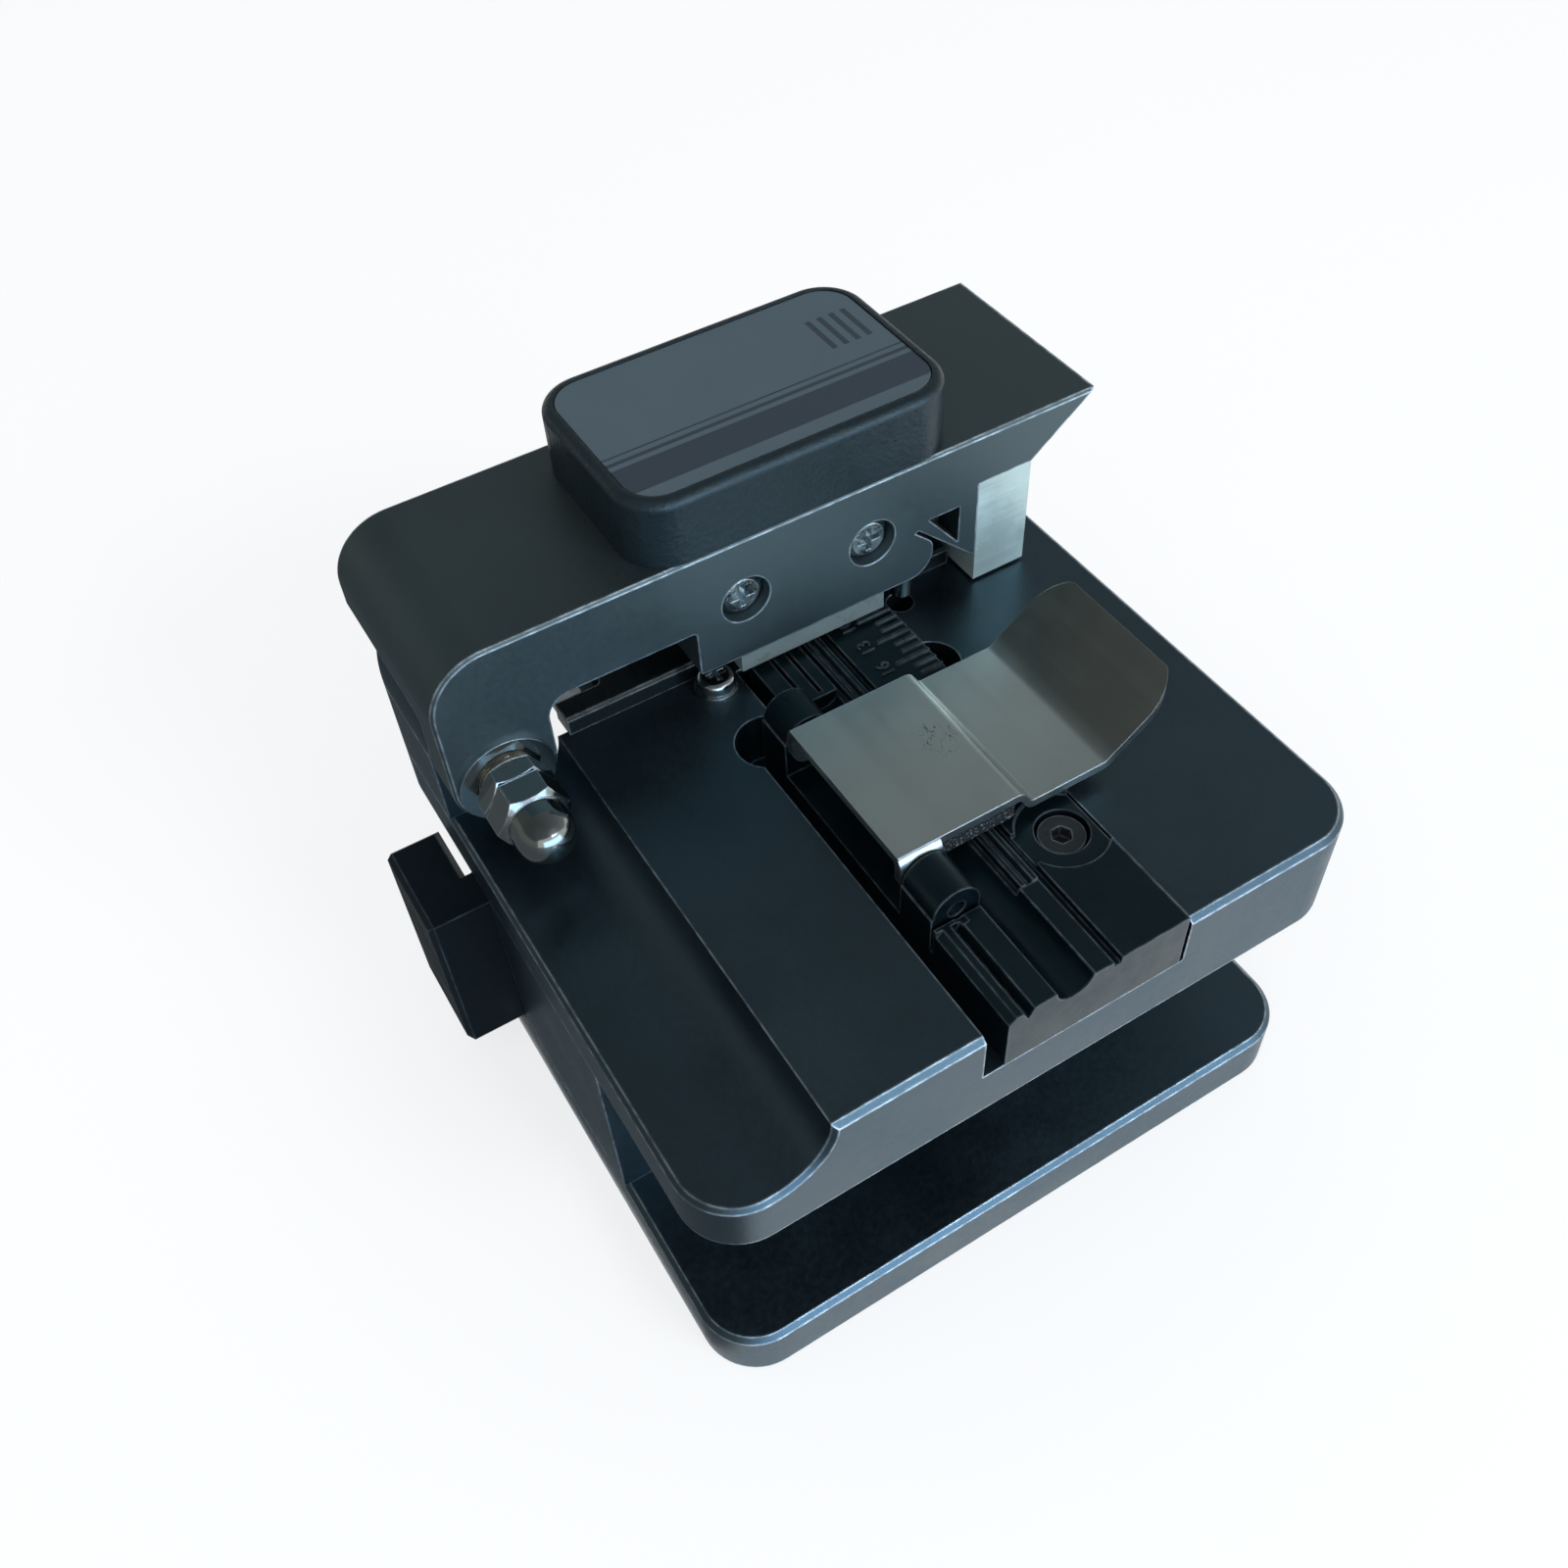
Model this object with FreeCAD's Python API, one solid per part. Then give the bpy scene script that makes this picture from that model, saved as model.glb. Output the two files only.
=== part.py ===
"""Bench fibre cleaver for single optical fibres.

A heavy base plate carries an angled pedestal and a thick deck.  A hinged arm closes over the
deck and presses the fibre on rubber pads, a fibre holder with a sheet-metal clamp lies in the
deck, and a carriage under the deck drives a carbide wheel past the fibre when the side knob
is pushed.  Millimetres, +Z up, X to the right along the blade travel, Y to the rear along the
fibre.  The origin lies under the middle of the base plate, on the surface the feet stand on.
"""
import FreeCAD
import Part
import math
import os

Vector = FreeCAD.Vector

# ---------------------------------------------------------------- body
body_width = 59.2
body_depth = 57.7
corner_radius = 5.0
edge_chamfer = 0.5
foot_drop = 0.25
base_thickness = 5.3
pedestal_height = 18.9
deck_thickness = 10.1
ledge_drop = 5.1
ledge_width = 10.3
channel_depth = 19.9
front_overhang = 18.2
rear_post_width = 8.6
notch_start = 9.2
notch_width = 5.0

# ---------------------------------------------------------------- fibre line and blade
fibre_past_mid_travel = 0.2
cleave_from_rear = 8.45
fibre_height = 0.7
blade_diameter = 16.0
blade_thickness = 2.5
blade_bore = 4.0
blade_travel = 16.0
blade_rest_from_right = 18.2

# ---------------------------------------------------------------- hinge and arm
hinge_inset = 4.45
hinge_height = 2.6
shaft_diameter = 3.0
bearing_diameter = 7.0
bearing_flange = 8.1
bearing_flange_thickness = 0.5
arm_depth = 19.2
arm_overhang = 1.8
arm_height = 15.8
arm_clearance = 8.4
arm_leg_depth = 4.0
arm_corner = 5.2
arm_bevel = 0.25
drop_clearance = 3.7
drop_reach_left = 11.05
drop_reach_right = 9.4
drop_lobe_radius = 2.3
closing_leg_from_right = 9.8
closing_leg_width = 5.4
closing_leg_depth = 10.0
closing_leg_gap = 0.3
cap_length = 29.2
cap_width = 18.6
cap_height = 6.1
cap_shift = -0.35
label_thickness = 0.3
label_margin = 1.0

# ---------------------------------------------------------------- fibre holder and clamp
holder_width = 16.2
holder_reach_left = 8.45
holder_stand = 0.7
slot_gap_left = 1.9
slot_gap_right = 0.4
holder_under_arm = 1.35
slot_end_gap = 0.7
slot_shoulder_gap = 3.4
slot_step = 1.55
knuckle_radius = 2.1
clamp_axis_inset = 2.25
clamp_axis_rise = 0.6
clamp_from_front = 14.15
clamp_from_blade = 19.9
clamp_sheet = 0.8
clamp_lift = 2.2
tab_angle = 37.5
tab_length = 8.8
tab_corner = 3.6
clamp_pin_diameter = 1.5

# ---------------------------------------------------------------- slide
rail_width = 5.0
rail_height = 3.6
carriage_length = 17.0
carriage_width = 12.0
carriage_height = 6.5
knob_thickness = 5.0
knob_depth = 9.9
knob_gap = 0.5
neck_depth = 3.7
slide_clearance = 0.4

# ---------------------------------------------------------------- common clearances
running_gap = 0.05
small_gap = 0.15
safe_gap = 0.3

# ---------------------------------------------------------------- derived places
left = -body_width / 2
right = body_width / 2
front = -body_depth / 2
rear = body_depth / 2
base_bottom = foot_drop
base_top = base_bottom + base_thickness
deck_bottom = base_top + pedestal_height
deck_top = deck_bottom + deck_thickness
ledge_top = deck_top - ledge_drop
channel_front = rear - channel_depth
fibre_z = deck_top + fibre_height

hinge_x = left + hinge_inset
hinge_z = deck_top + hinge_height
arm_front = rear - arm_depth
cleave_y = rear - cleave_from_rear
blade_rest_x = right - blade_rest_from_right
fibre_x = blade_rest_x - blade_travel / 2 + fibre_past_mid_travel
drop_left = fibre_x - drop_reach_left
drop_lobe_x = fibre_x + drop_reach_right
closing_leg_left = right - closing_leg_from_right
cap_centre_x = fibre_x + cap_shift
holder_left = fibre_x - holder_reach_left
clamp_front = front + clamp_from_front
arm_leg_rear = arm_front + arm_leg_depth
arm_top = deck_top + arm_height
beam_bottom = deck_top + arm_clearance
drop_bottom = deck_top + drop_clearance
drop_right = drop_lobe_x + drop_lobe_radius
arm_right = right + arm_overhang

slot_left = holder_left - slot_gap_left
slot_right = holder_left + holder_width + slot_gap_right
holder_top = deck_top + holder_stand
clamp_x = holder_left + clamp_axis_inset
clamp_z = holder_top + clamp_axis_rise
clamp_rear = cleave_y - clamp_from_blade
holder_end = arm_front + holder_under_arm
slot_end = holder_end + slot_end_gap
slot_shoulder_y = clamp_rear + slot_shoulder_gap
slot_narrow_left = holder_left + slot_step

blade_z = fibre_z - blade_diameter / 2
carriage_top = base_top + carriage_height


# ================================================================ helpers
def box(x0, x1, y0, y1, z0, z1):
    """Block between two opposite corners."""
    return Part.makeBox(x1 - x0, y1 - y0, z1 - z0, Vector(x0, y0, z0))


def rod_x(radius, x0, x1, y, z):
    return Part.makeCylinder(radius, x1 - x0, Vector(x0, y, z), Vector(1, 0, 0))


def rod_y(radius, x, y0, y1, z):
    return Part.makeCylinder(radius, y1 - y0, Vector(x, y0, z), Vector(0, 1, 0))


def rod_z(radius, x, y, z0, z1):
    return Part.makeCylinder(radius, z1 - z0, Vector(x, y, z0), Vector(0, 0, 1))


def corner_arc(before, corner, after, radius):
    """Tangent arc that rounds one corner: its start, middle and end."""
    back = (before - corner).normalize()
    ahead = (after - corner).normalize()
    half = back.getAngle(ahead) / 2
    reach = radius / math.tan(half)
    start = corner + back * reach
    end = corner + ahead * reach
    bisector = (back + ahead).normalize()
    centre = corner + bisector * (radius / math.sin(half))
    middle = centre - bisector * radius
    return start, middle, end


def outline(points, place):
    """Closed wire through (a, b) or (a, b, corner radius) points, put in space by place."""
    corners = [place(p[0], p[1]) for p in points]
    edges = []
    last = None
    first = None
    for i, point in enumerate(points):
        corner = corners[i]
        if len(point) > 2:
            start, middle, end = corner_arc(corners[i - 1], corner, corners[(i + 1) % len(points)], point[2])
        else:
            start, middle, end = corner, None, corner
        if last is None:
            first = start
        elif last.distanceToPoint(start) > 1e-6:
            edges.append(Part.makeLine(last, start))
        if middle is not None:
            edges.append(Part.Arc(start, middle, end).toShape())
        last = end
    if last.distanceToPoint(first) > 1e-6:
        edges.append(Part.makeLine(last, first))
    return Part.Wire(edges)


def prism_y(points, y0, y1):
    """Solid from an outline in the XZ plane, drawn out along Y."""
    wire = outline(points, lambda x, z: Vector(x, y0, z))
    return Part.Face(wire).extrude(Vector(0, y1 - y0, 0))


def prism_x(points, x0, x1):
    """Solid from an outline in the YZ plane, drawn out along X."""
    wire = outline(points, lambda y, z: Vector(x0, y, z))
    return Part.Face(wire).extrude(Vector(x1 - x0, 0, 0))


def prism_z(points, z0, z1):
    """Solid from an outline in the XY plane, drawn out along Z."""
    wire = outline(points, lambda x, y: Vector(x, y, z0))
    return Part.Face(wire).extrude(Vector(0, 0, z1 - z0))


def rounded_block(x0, x1, y0, y1, z0, z1, radius):
    """Block with four rounded vertical edges."""
    points = [(x0, y0, radius), (x1, y0, radius), (x1, y1, radius), (x0, y1, radius)]
    return prism_z(points, z0, z1)


def body_block(z0, z1):
    """Full footprint of the body between two heights."""
    return rounded_block(left, right, front, rear, z0, z1, corner_radius)


def top_edges(shape, height):
    """Edges that lie wholly at one height."""
    found = []
    for edge in shape.Edges:
        if abs(edge.BoundBox.ZMin - height) < 1e-4 and abs(edge.BoundBox.ZMax - height) < 1e-4:
            found.append(edge)
    return found


def hexagon_y(flats, x, z, y0, y1):
    """Hexagon across the given flats, drawn out along Y, with a flat on top."""
    radius = flats / math.sqrt(3)
    points = []
    for i in range(6):
        angle = math.radians(60 * i)
        points.append((x + radius * math.cos(angle), z + radius * math.sin(angle)))
    return prism_y(points, y0, y1)


def hexagon_z(flats, x, y, z0, z1):
    """Hexagon across the given flats, drawn out along Z."""
    radius = flats / math.sqrt(3)
    points = []
    for i in range(6):
        angle = math.radians(60 * i)
        points.append((x + radius * math.cos(angle), y + radius * math.sin(angle)))
    return prism_z(points, z0, z1)


def turned(profile, origin, axis_x, axis_r):
    """Solid of revolution from (along, radius) points about the line through origin."""
    points = [origin + axis_x * a + axis_r * r for a, r in profile]
    wire = Part.makePolygon(points + [points[0]])
    return Part.Face(wire).revolve(origin, axis_x, 360)


def fuse(shapes):
    """One solid out of touching shapes."""
    result = shapes[0].multiFuse(shapes[1:]) if len(shapes) > 1 else shapes[0]
    return result.removeSplitter()


def cut(shape, tools):
    """Shape with all tools taken away, one after the other."""
    for tool in tools:
        shape = shape.cut(tool)
    return shape


# ================================================================ fastener patterns
base_screw_points = [(left + 13, channel_front - 5), (right - 13, channel_front - 5), (right - 4, rear - 16)]
deck_screw_points = [(left + 6, channel_front - 9), (right - 6, channel_front - 9), (right - 4, rear - 6)]
hinge_screw_points = [(hinge_x, rear - 4), (hinge_x, rear - 11)]
foot_points = [(x, y) for x in (left + 8, right - 8) for y in (front + 8, rear - 8)]
rail_screw_xs = [left + 10, left + 30, right - 12.2]

screw_diameter = 3.0
screw_head = 5.5
screw_key = 2.5
screw_head_height = 3.0
small_screw_diameter = 2.0
small_screw_head = 3.8
small_screw_head_height = 2.0
small_screw_key = 1.5
low_screw_head = 3.3
low_screw_head_height = 1.2
low_screw_key = 1.3
leg_screw_diameter = 2.5
leg_screw_head = 4.4
leg_screw_head_height = 2.2
foot_diameter = 8.0
foot_recess = 1.0


def socket_screw_up(x, y, head_z, length, diameter, head, head_height, key):
    """Socket head screw that points up, its head's underside hollowed for the key."""
    shank = rod_z(diameter / 2, x, y, head_z, head_z + length)
    cap = rod_z(head / 2, x, y, head_z - head_height, head_z)
    key_hole = hexagon_z(key, x, y, head_z - head_height, head_z - head_height * 0.45)
    return fuse([shank, cap]).cut(key_hole)


def socket_screw_down(x, y, head_z, length, diameter, head, head_height, key):
    """Socket head screw that points down, its seat at head_z."""
    shank = rod_z(diameter / 2, x, y, head_z - length, head_z)
    cap = rod_z(head / 2, x, y, head_z, head_z + head_height)
    key_hole = hexagon_z(key, x, y, head_z + head_height * 0.45, head_z + head_height)
    return fuse([shank, cap]).cut(key_hole)


# ================================================================ base, pedestal, deck
deck_screw_seat = base_top + 8.0
deck_screw_grip = 4.4
base_screw_seat = base_bottom + 3.3
base_screw_grip = 6.0
hinge_screw_seat = deck_bottom + 2.3
guard_peg_radius = 0.7
guard_peg_depth = 2.0


def make_base_plate():
    plate = body_block(base_bottom, base_top)
    plate = plate.makeChamfer(edge_chamfer, top_edges(plate, base_top))
    tools = []
    for x, y in base_screw_points:
        tools.append(rod_z(screw_diameter / 2, x, y, base_bottom, base_top))
        tools.append(rod_z(screw_head / 2 + small_gap, x, y, base_bottom, base_screw_seat))
    for x, y in foot_points:
        tools.append(rod_z(foot_diameter / 2, x, y, base_bottom, base_bottom + foot_recess))
    for x in rail_screw_xs:
        tools.append(rod_z(small_screw_diameter / 2, x, cleave_y, base_top - 3.5, base_top))
    return cut(plate, tools)


def make_feet():
    feet = []
    for x, y in foot_points:
        foot = rod_z(foot_diameter / 2, x, y, 0, base_bottom + foot_recess)
        rim = foot.Edges[0:0]
        for edge in foot.Edges:
            if abs(edge.BoundBox.ZMax) < 1e-6:
                rim.append(edge)
        feet.append(foot.makeChamfer(foot_drop * 0.8, rim))
    return Part.Compound(feet)


def make_base_screws():
    screws = []
    base_length = base_top - base_screw_seat + base_screw_grip
    for x, y in base_screw_points:
        screws.append(socket_screw_up(x, y, base_screw_seat, base_length, screw_diameter, screw_head,
                                      screw_head_height, screw_key))
    return Part.Compound(screws)


def drilled_for_screws(block):
    """Block with the holes that the base and deck screws need in it."""
    tools = []
    for x, y in base_screw_points:
        tools.append(rod_z(screw_diameter / 2, x, y, base_top, base_top + base_screw_grip))
    for x, y in deck_screw_points:
        tools.append(rod_z(screw_diameter / 2, x, y, deck_screw_seat, deck_bottom))
        tools.append(rod_z(screw_head / 2 + small_gap, x, y, base_top, deck_screw_seat))
    return cut(block, tools)


def make_pedestal():
    """Bar across the body that carries the deck."""
    bar = box(left, right, front + front_overhang, channel_front, base_top, deck_bottom)
    return drilled_for_screws(bar)


def make_rear_pillar():
    """Post at the right rear corner, behind the bar, that closes the slide channel."""
    post = box(right - rear_post_width, right + 1, channel_front, rear + 1, base_top, deck_bottom)
    return drilled_for_screws(post.common(body_block(base_top, deck_bottom)))


def make_deck_screws():
    screws = []
    length = deck_bottom - deck_screw_seat + deck_screw_grip
    for x, y in deck_screw_points:
        screws.append(socket_screw_up(x, y, deck_screw_seat, length, screw_diameter, screw_head,
                                      screw_head_height, screw_key))
    return Part.Compound(screws)


blade_slot_left = blade_rest_x - blade_travel - blade_diameter / 2 - 1.0
blade_slot_right = blade_rest_x + blade_diameter / 2 + 1.2
blade_slot_front = cleave_y - 3.4
blade_slot_rear = cleave_y + 5.6
blade_slot_height = 7.8
blade_slit_width = 3.6
relief_radius = 2.5
relief_y = clamp_rear + 2.9
notch_left = left + notch_start
notch_right = notch_left + notch_width
notch_front = arm_front + arm_leg_depth - 0.15
pin_radius = 1.0
pin_hole_y = arm_front + 1.4
spacer_thickness = 0.5
hinge_block_front = arm_leg_rear + bearing_flange_thickness + spacer_thickness
holder_screw_x = holder_left + 13.65
holder_screw_y = front + 11.65
magnet_radius = 2.0
magnet_height = 1.5
holder_magnet_x = holder_left + 14.05
holder_magnet_y = (clamp_front + clamp_rear) / 2
stop_screw_x = slot_left + 1.15
stop_screw_y = arm_front + 1.35
leg_centre_x = closing_leg_left + closing_leg_width / 2
leg_magnet_y = arm_front + 2.4
leg_magnet_radius = 1.5
guard_peg_y = cleave_y - 5.1
guard_peg_xs = [left + 17.2, fibre_x - 10.2, fibre_x + 10.3, fibre_x + 13.9]
guard_peg_points = [(x, guard_peg_y) for x in guard_peg_xs]


def make_deck():
    deck = body_block(deck_bottom, deck_top)
    deck = deck.makeChamfer(edge_chamfer, top_edges(deck, deck_top))
    cove = [
        (left - 1, ledge_top),
        (left + ledge_width, ledge_top, ledge_drop - 0.01),
        (left + ledge_width, deck_top + 1),
        (left - 1, deck_top + 1),
    ]
    ledge_cut = prism_y(cove, front - 1, rear + 1)
    deck = deck.cut(ledge_cut)
    rim = []
    for edge in top_edges(deck, ledge_top):
        if edge.BoundBox.XMin < left + 0.01 or edge.BoundBox.YLength < corner_radius + 0.2:
            rim.append(edge)
    deck = deck.makeChamfer(edge_chamfer * 0.8, rim)
    tools = [
        box(slot_left, slot_right, front - 1, slot_shoulder_y, ledge_top, deck_top + 1),
        box(slot_narrow_left, slot_right, front, slot_end, ledge_top, deck_top + 1),
        rod_z(relief_radius + 0.3, slot_left + 1.7, relief_y, ledge_top, deck_top + 1),
        rod_z(relief_radius, slot_right - 0.7, relief_y, ledge_top, deck_top + 1),
        box(blade_slot_left, blade_slot_right, blade_slot_front, blade_slot_rear,
            deck_bottom - 1, deck_bottom + blade_slot_height),
        box(blade_slot_left, blade_slot_right, cleave_y - blade_slit_width / 2,
            cleave_y + blade_slit_width / 2, deck_bottom - 1, deck_top + 1),
        box(notch_left, notch_right, notch_front, rear + 1, deck_bottom - 1, deck_top + 1),
        box(left - 1, notch_left + 0.1, hinge_block_front - safe_gap, rear + 1, ledge_top, deck_top + 1),
        rod_z(small_screw_diameter / 2, holder_screw_x, holder_screw_y, ledge_top - 3, ledge_top),
        rod_z(pin_radius + 0.2, drop_lobe_x, pin_hole_y, deck_top - 4, deck_top + 1),
        rod_z(small_screw_diameter / 2, stop_screw_x, stop_screw_y, deck_top - 5, deck_top + 1),
        rod_z(leg_magnet_radius, leg_centre_x, leg_magnet_y, deck_top - magnet_height, deck_top + 1),
    ]
    for x, y in deck_screw_points:
        tools.append(rod_z(screw_diameter / 2, x, y, deck_bottom, deck_bottom + deck_screw_grip))
    for x, y in hinge_screw_points:
        tools.append(rod_z(small_screw_diameter / 2, x, y, deck_bottom, ledge_top))
        tools.append(rod_z(small_screw_head / 2 + small_gap, x, y, deck_bottom, hinge_screw_seat))
    for x, y in guard_peg_points:
        tools.append(rod_z(guard_peg_radius, x, y, deck_top - guard_peg_depth - 0.2, deck_top + 1))
    return cut(deck, tools)


# ================================================================ lower clamp and guards
pad_centre_x = fibre_x
pad_length = 7.0
front_pad = (cleave_y - 6.2, cleave_y - 2.7)
rear_pad = (cleave_y + 2.6, cleave_y + 5.6)
pad_gap = 0.15
lower_pad_top = fibre_z - pad_gap / 2
upper_pad_bottom = fibre_z + pad_gap / 2
guard_thickness = 1.75
guard_front = cleave_y - 7.4
guard_rear = cleave_y - 2.8
guard_left_outer = left + 11.2
guard_left_step = left + 15.5
guard_left_inner = fibre_x - 8.2
guard_right_inner = fibre_x + 8.3
guard_right_outer = closing_leg_left - 0.4


def pad_pair(z0, z1):
    """Two rubber pads, one on each side of the blade's path."""
    half = pad_length / 2
    pads = []
    for y0, y1 in (front_pad, rear_pad):
        pads.append(box(pad_centre_x - half, pad_centre_x + half, y0, y1, z0, z1))
    return Part.Compound(pads)


def make_lower_pads():
    return pad_pair(deck_top, lower_pad_top)


def guard_plate(points, peg_points):
    """Moulded cover plate whose pegs press into holes in the deck."""
    plate = prism_z(points, deck_top, deck_top + guard_thickness)
    front_edges = []
    for edge in top_edges(plate, deck_top + guard_thickness):
        if edge.BoundBox.YMax < guard_front + 0.01:
            front_edges.append(edge)
    plate = plate.makeChamfer(0.25, front_edges)
    pegs = []
    for x, y in peg_points:
        pegs.append(rod_z(guard_peg_radius, x, y, deck_top - guard_peg_depth, deck_top + guard_thickness / 2))
    return fuse([plate] + pegs)


def make_guard_left():
    step_y = guard_front + 2.3
    points = [
        (guard_left_outer, guard_front),
        (guard_left_inner, guard_front),
        (guard_left_inner, guard_rear),
        (guard_left_step, guard_rear),
        (guard_left_step, step_y, 0.6),
        (guard_left_outer, step_y),
    ]
    return guard_plate(points, guard_peg_points[:2])


def make_guard_right():
    points = [
        (guard_right_inner, guard_front),
        (guard_right_outer, guard_front),
        (guard_right_outer, guard_rear),
        (guard_right_inner, guard_rear),
    ]
    return guard_plate(points, guard_peg_points[2:])


# ================================================================ hinge
shaft_front = arm_front - 7.6
shaft_rear = rear - 2.0
set_screw_y = rear - 7.5


def make_hinge_block():
    """Bearing block on the ledge, round on top about the hinge line, flush with the body's sides."""
    radius = hinge_inset - 0.05
    block = box(hinge_x - hinge_inset, hinge_x + radius, hinge_block_front, rear, ledge_top, hinge_z)
    dome = rod_y(radius, hinge_x, hinge_block_front, rear, hinge_z)
    block = fuse([block, dome])
    block = block.common(body_block(ledge_top, hinge_z + hinge_inset))
    tools = [
        rod_y(shaft_diameter / 2, hinge_x, hinge_block_front, shaft_rear, hinge_z),
        rod_x(1.0, hinge_x, hinge_x + hinge_inset, set_screw_y, hinge_z),
    ]
    for x, y in hinge_screw_points:
        tools.append(rod_z(small_screw_diameter / 2, x, y, ledge_top, ledge_top + 4.0))
    return cut(block, tools)


def make_hinge_shaft():
    shaft = rod_y(shaft_diameter / 2, hinge_x, shaft_front, shaft_rear, hinge_z)
    ends = []
    for edge in shaft.Edges:
        if edge.BoundBox.YLength < 1e-6:
            ends.append(edge)
    return shaft.makeChamfer(0.3, ends)


def make_set_screw():
    body = rod_x(1.0, hinge_x + shaft_diameter / 2, hinge_x + hinge_inset - 0.8, set_screw_y, hinge_z)
    key = rod_x(0.45, hinge_x + hinge_inset - 1.8, hinge_x + hinge_inset, set_screw_y, hinge_z)
    return body.cut(key)


def make_hinge_screws():
    screws = []
    length = ledge_top - hinge_screw_seat + 3.6
    for x, y in hinge_screw_points:
        screws.append(socket_screw_up(x, y, hinge_screw_seat, length, small_screw_diameter,
                                      small_screw_head, small_screw_head_height, small_screw_key))
    return Part.Compound(screws)


bearing_split_inner = 2.55
bearing_split_outer = 2.65
bearing_half = arm_leg_depth / 2


def make_bearing_outers():
    """Outer rings with their flanges and shields, one pressed in from each face of the leg."""
    rings = []
    for seat, way in ((arm_front, 1), (arm_leg_rear, -1)):
        inner_end = seat + way * bearing_half
        outer_end = seat - way * bearing_flange_thickness
        flange = rod_y(bearing_flange / 2, hinge_x, min(seat, outer_end), max(seat, outer_end), hinge_z)
        ring = rod_y(bearing_diameter / 2, hinge_x, min(seat, inner_end), max(seat, inner_end), hinge_z)
        bore = rod_y(bearing_split_outer, hinge_x, arm_front - 1, arm_leg_rear + 1, hinge_z)
        rings.append(fuse([flange, ring]).cut(bore))
    return Part.Compound(rings)


def make_bearing_inners():
    rings = []
    y0 = arm_front - bearing_flange_thickness
    y1 = arm_leg_rear + bearing_flange_thickness
    middle = (y0 + y1) / 2
    for a, b in ((y0, middle), (middle, y1)):
        ring = rod_y(bearing_split_inner, hinge_x, a, b, hinge_z)
        rings.append(ring.cut(rod_y(shaft_diameter / 2, hinge_x, a, b, hinge_z)))
    return Part.Compound(rings)


washer_thickness = 0.5
jam_nut_height = 2.1
nut_flats = 5.5
acorn_hex_height = 2.5
acorn_dome_radius = 2.45
acorn_neck = 1.3
washer_front = arm_front - bearing_flange_thickness - washer_thickness
jam_front = washer_front - jam_nut_height
acorn_hex_front = jam_front - acorn_hex_height


def make_rear_spacer():
    """Spacer between the rear bearing's inner ring and the hinge block."""
    ring = rod_y(2.3, hinge_x, hinge_block_front - spacer_thickness, hinge_block_front, hinge_z)
    return ring.cut(rod_y(shaft_diameter / 2, hinge_x, arm_front, rear, hinge_z))


def make_thrust_washer():
    washer = rod_y(2.5, hinge_x, washer_front, washer_front + washer_thickness, hinge_z)
    return washer.cut(rod_y(shaft_diameter / 2, hinge_x, washer_front - 1, arm_front, hinge_z))


def chamfered_nut(y_front, y_rear, both):
    """Hexagon with its corners turned down at the front, or at both faces."""
    nut = hexagon_y(nut_flats, hinge_x, hinge_z, y_front, y_rear)
    height = y_rear - y_front
    corner = nut_flats / math.sqrt(3)
    drop = 0.45
    rise = drop if both else 0.0
    rear_radius = nut_flats * 0.47 if both else corner + 0.5
    profile = [
        (0, 0),
        (0, nut_flats * 0.47),
        (drop, corner + 0.05),
        (height - rise, corner + 0.05),
        (height, rear_radius),
        (height, 0),
    ]
    envelope = turned(profile, Vector(hinge_x, y_front, hinge_z), Vector(0, 1, 0), Vector(1, 0, 0))
    return nut.common(envelope)


def make_jam_nut():
    nut = chamfered_nut(jam_front, washer_front, True)
    return nut.cut(rod_y(shaft_diameter / 2, hinge_x, jam_front - 1, washer_front + 1, hinge_z))


def make_acorn_nut():
    """Dome nut: a chamfered hexagon, a short neck and a ball end."""
    nut = chamfered_nut(acorn_hex_front, jam_front, False)
    neck = rod_y(acorn_dome_radius, hinge_x, acorn_hex_front - acorn_neck, acorn_hex_front + 0.1, hinge_z)
    ball = Part.makeSphere(acorn_dome_radius, Vector(hinge_x, acorn_hex_front - acorn_neck, hinge_z))
    nut = fuse([nut, neck, ball])
    return nut.cut(rod_y(shaft_diameter / 2, hinge_x, shaft_front, jam_front + 1, hinge_z))


# ================================================================ fibre holder
front_zone_end = front + 8.9
knuckle_front_start = front + 9.55
ear_overhang = 0.4
ear_gap = 0.2
ear_front = clamp_front - ear_overhang
ear_rear = clamp_rear + ear_overhang
rear_knuckle_end = ear_rear + ear_gap + 3.6
clamp_pin_end = rear_knuckle_end - 0.6
trench_right = holder_left + 4.4
trench_floor = holder_top - 3.0
tail_left = holder_left + 2.55
jacket_radius = 1.65
jacket_x = holder_left + 5.8
core_half_width = 0.8
core_relief = 0.7
tick_pitch = 1.0
tick_count = 10
tick_width = 0.3
tick_rise = 0.2
tick_long = 3.3
tick_short = 2.1
tick_first_y = holder_end - 0.7
counterbore_radius = 2.15
holder_screw_seat = holder_top - 2.8
screw_dish_radius = 3.7
screw_dish_depth = 0.4


def front_grooves():
    """Cuts of the front zone: edge groove and jacket groove."""
    x0 = holder_left
    v_groove = [
        (x0 + 1.25, holder_top + 0.5),
        (x0 + 1.25, holder_top - 0.1),
        (x0 + 1.7, holder_top - 1.0),
        (x0 + 2.15, holder_top - 0.1),
        (x0 + 2.15, holder_top + 0.5),
    ]
    edge_bevel = [
        (x0 - 1, holder_top + 1),
        (x0 - 1, holder_top - 1.6),
        (x0 + 1.6, holder_top + 1),
    ]
    rib_left = jacket_x + jacket_radius + 0.1
    return [
        prism_y(v_groove, front - 1, front_zone_end),
        prism_y(edge_bevel, front - 1, front_zone_end),
        box(rib_left, fibre_x + core_half_width + 0.2, front - 1, front_zone_end,
            holder_top - 0.15, holder_top + 1),
    ]


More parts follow.
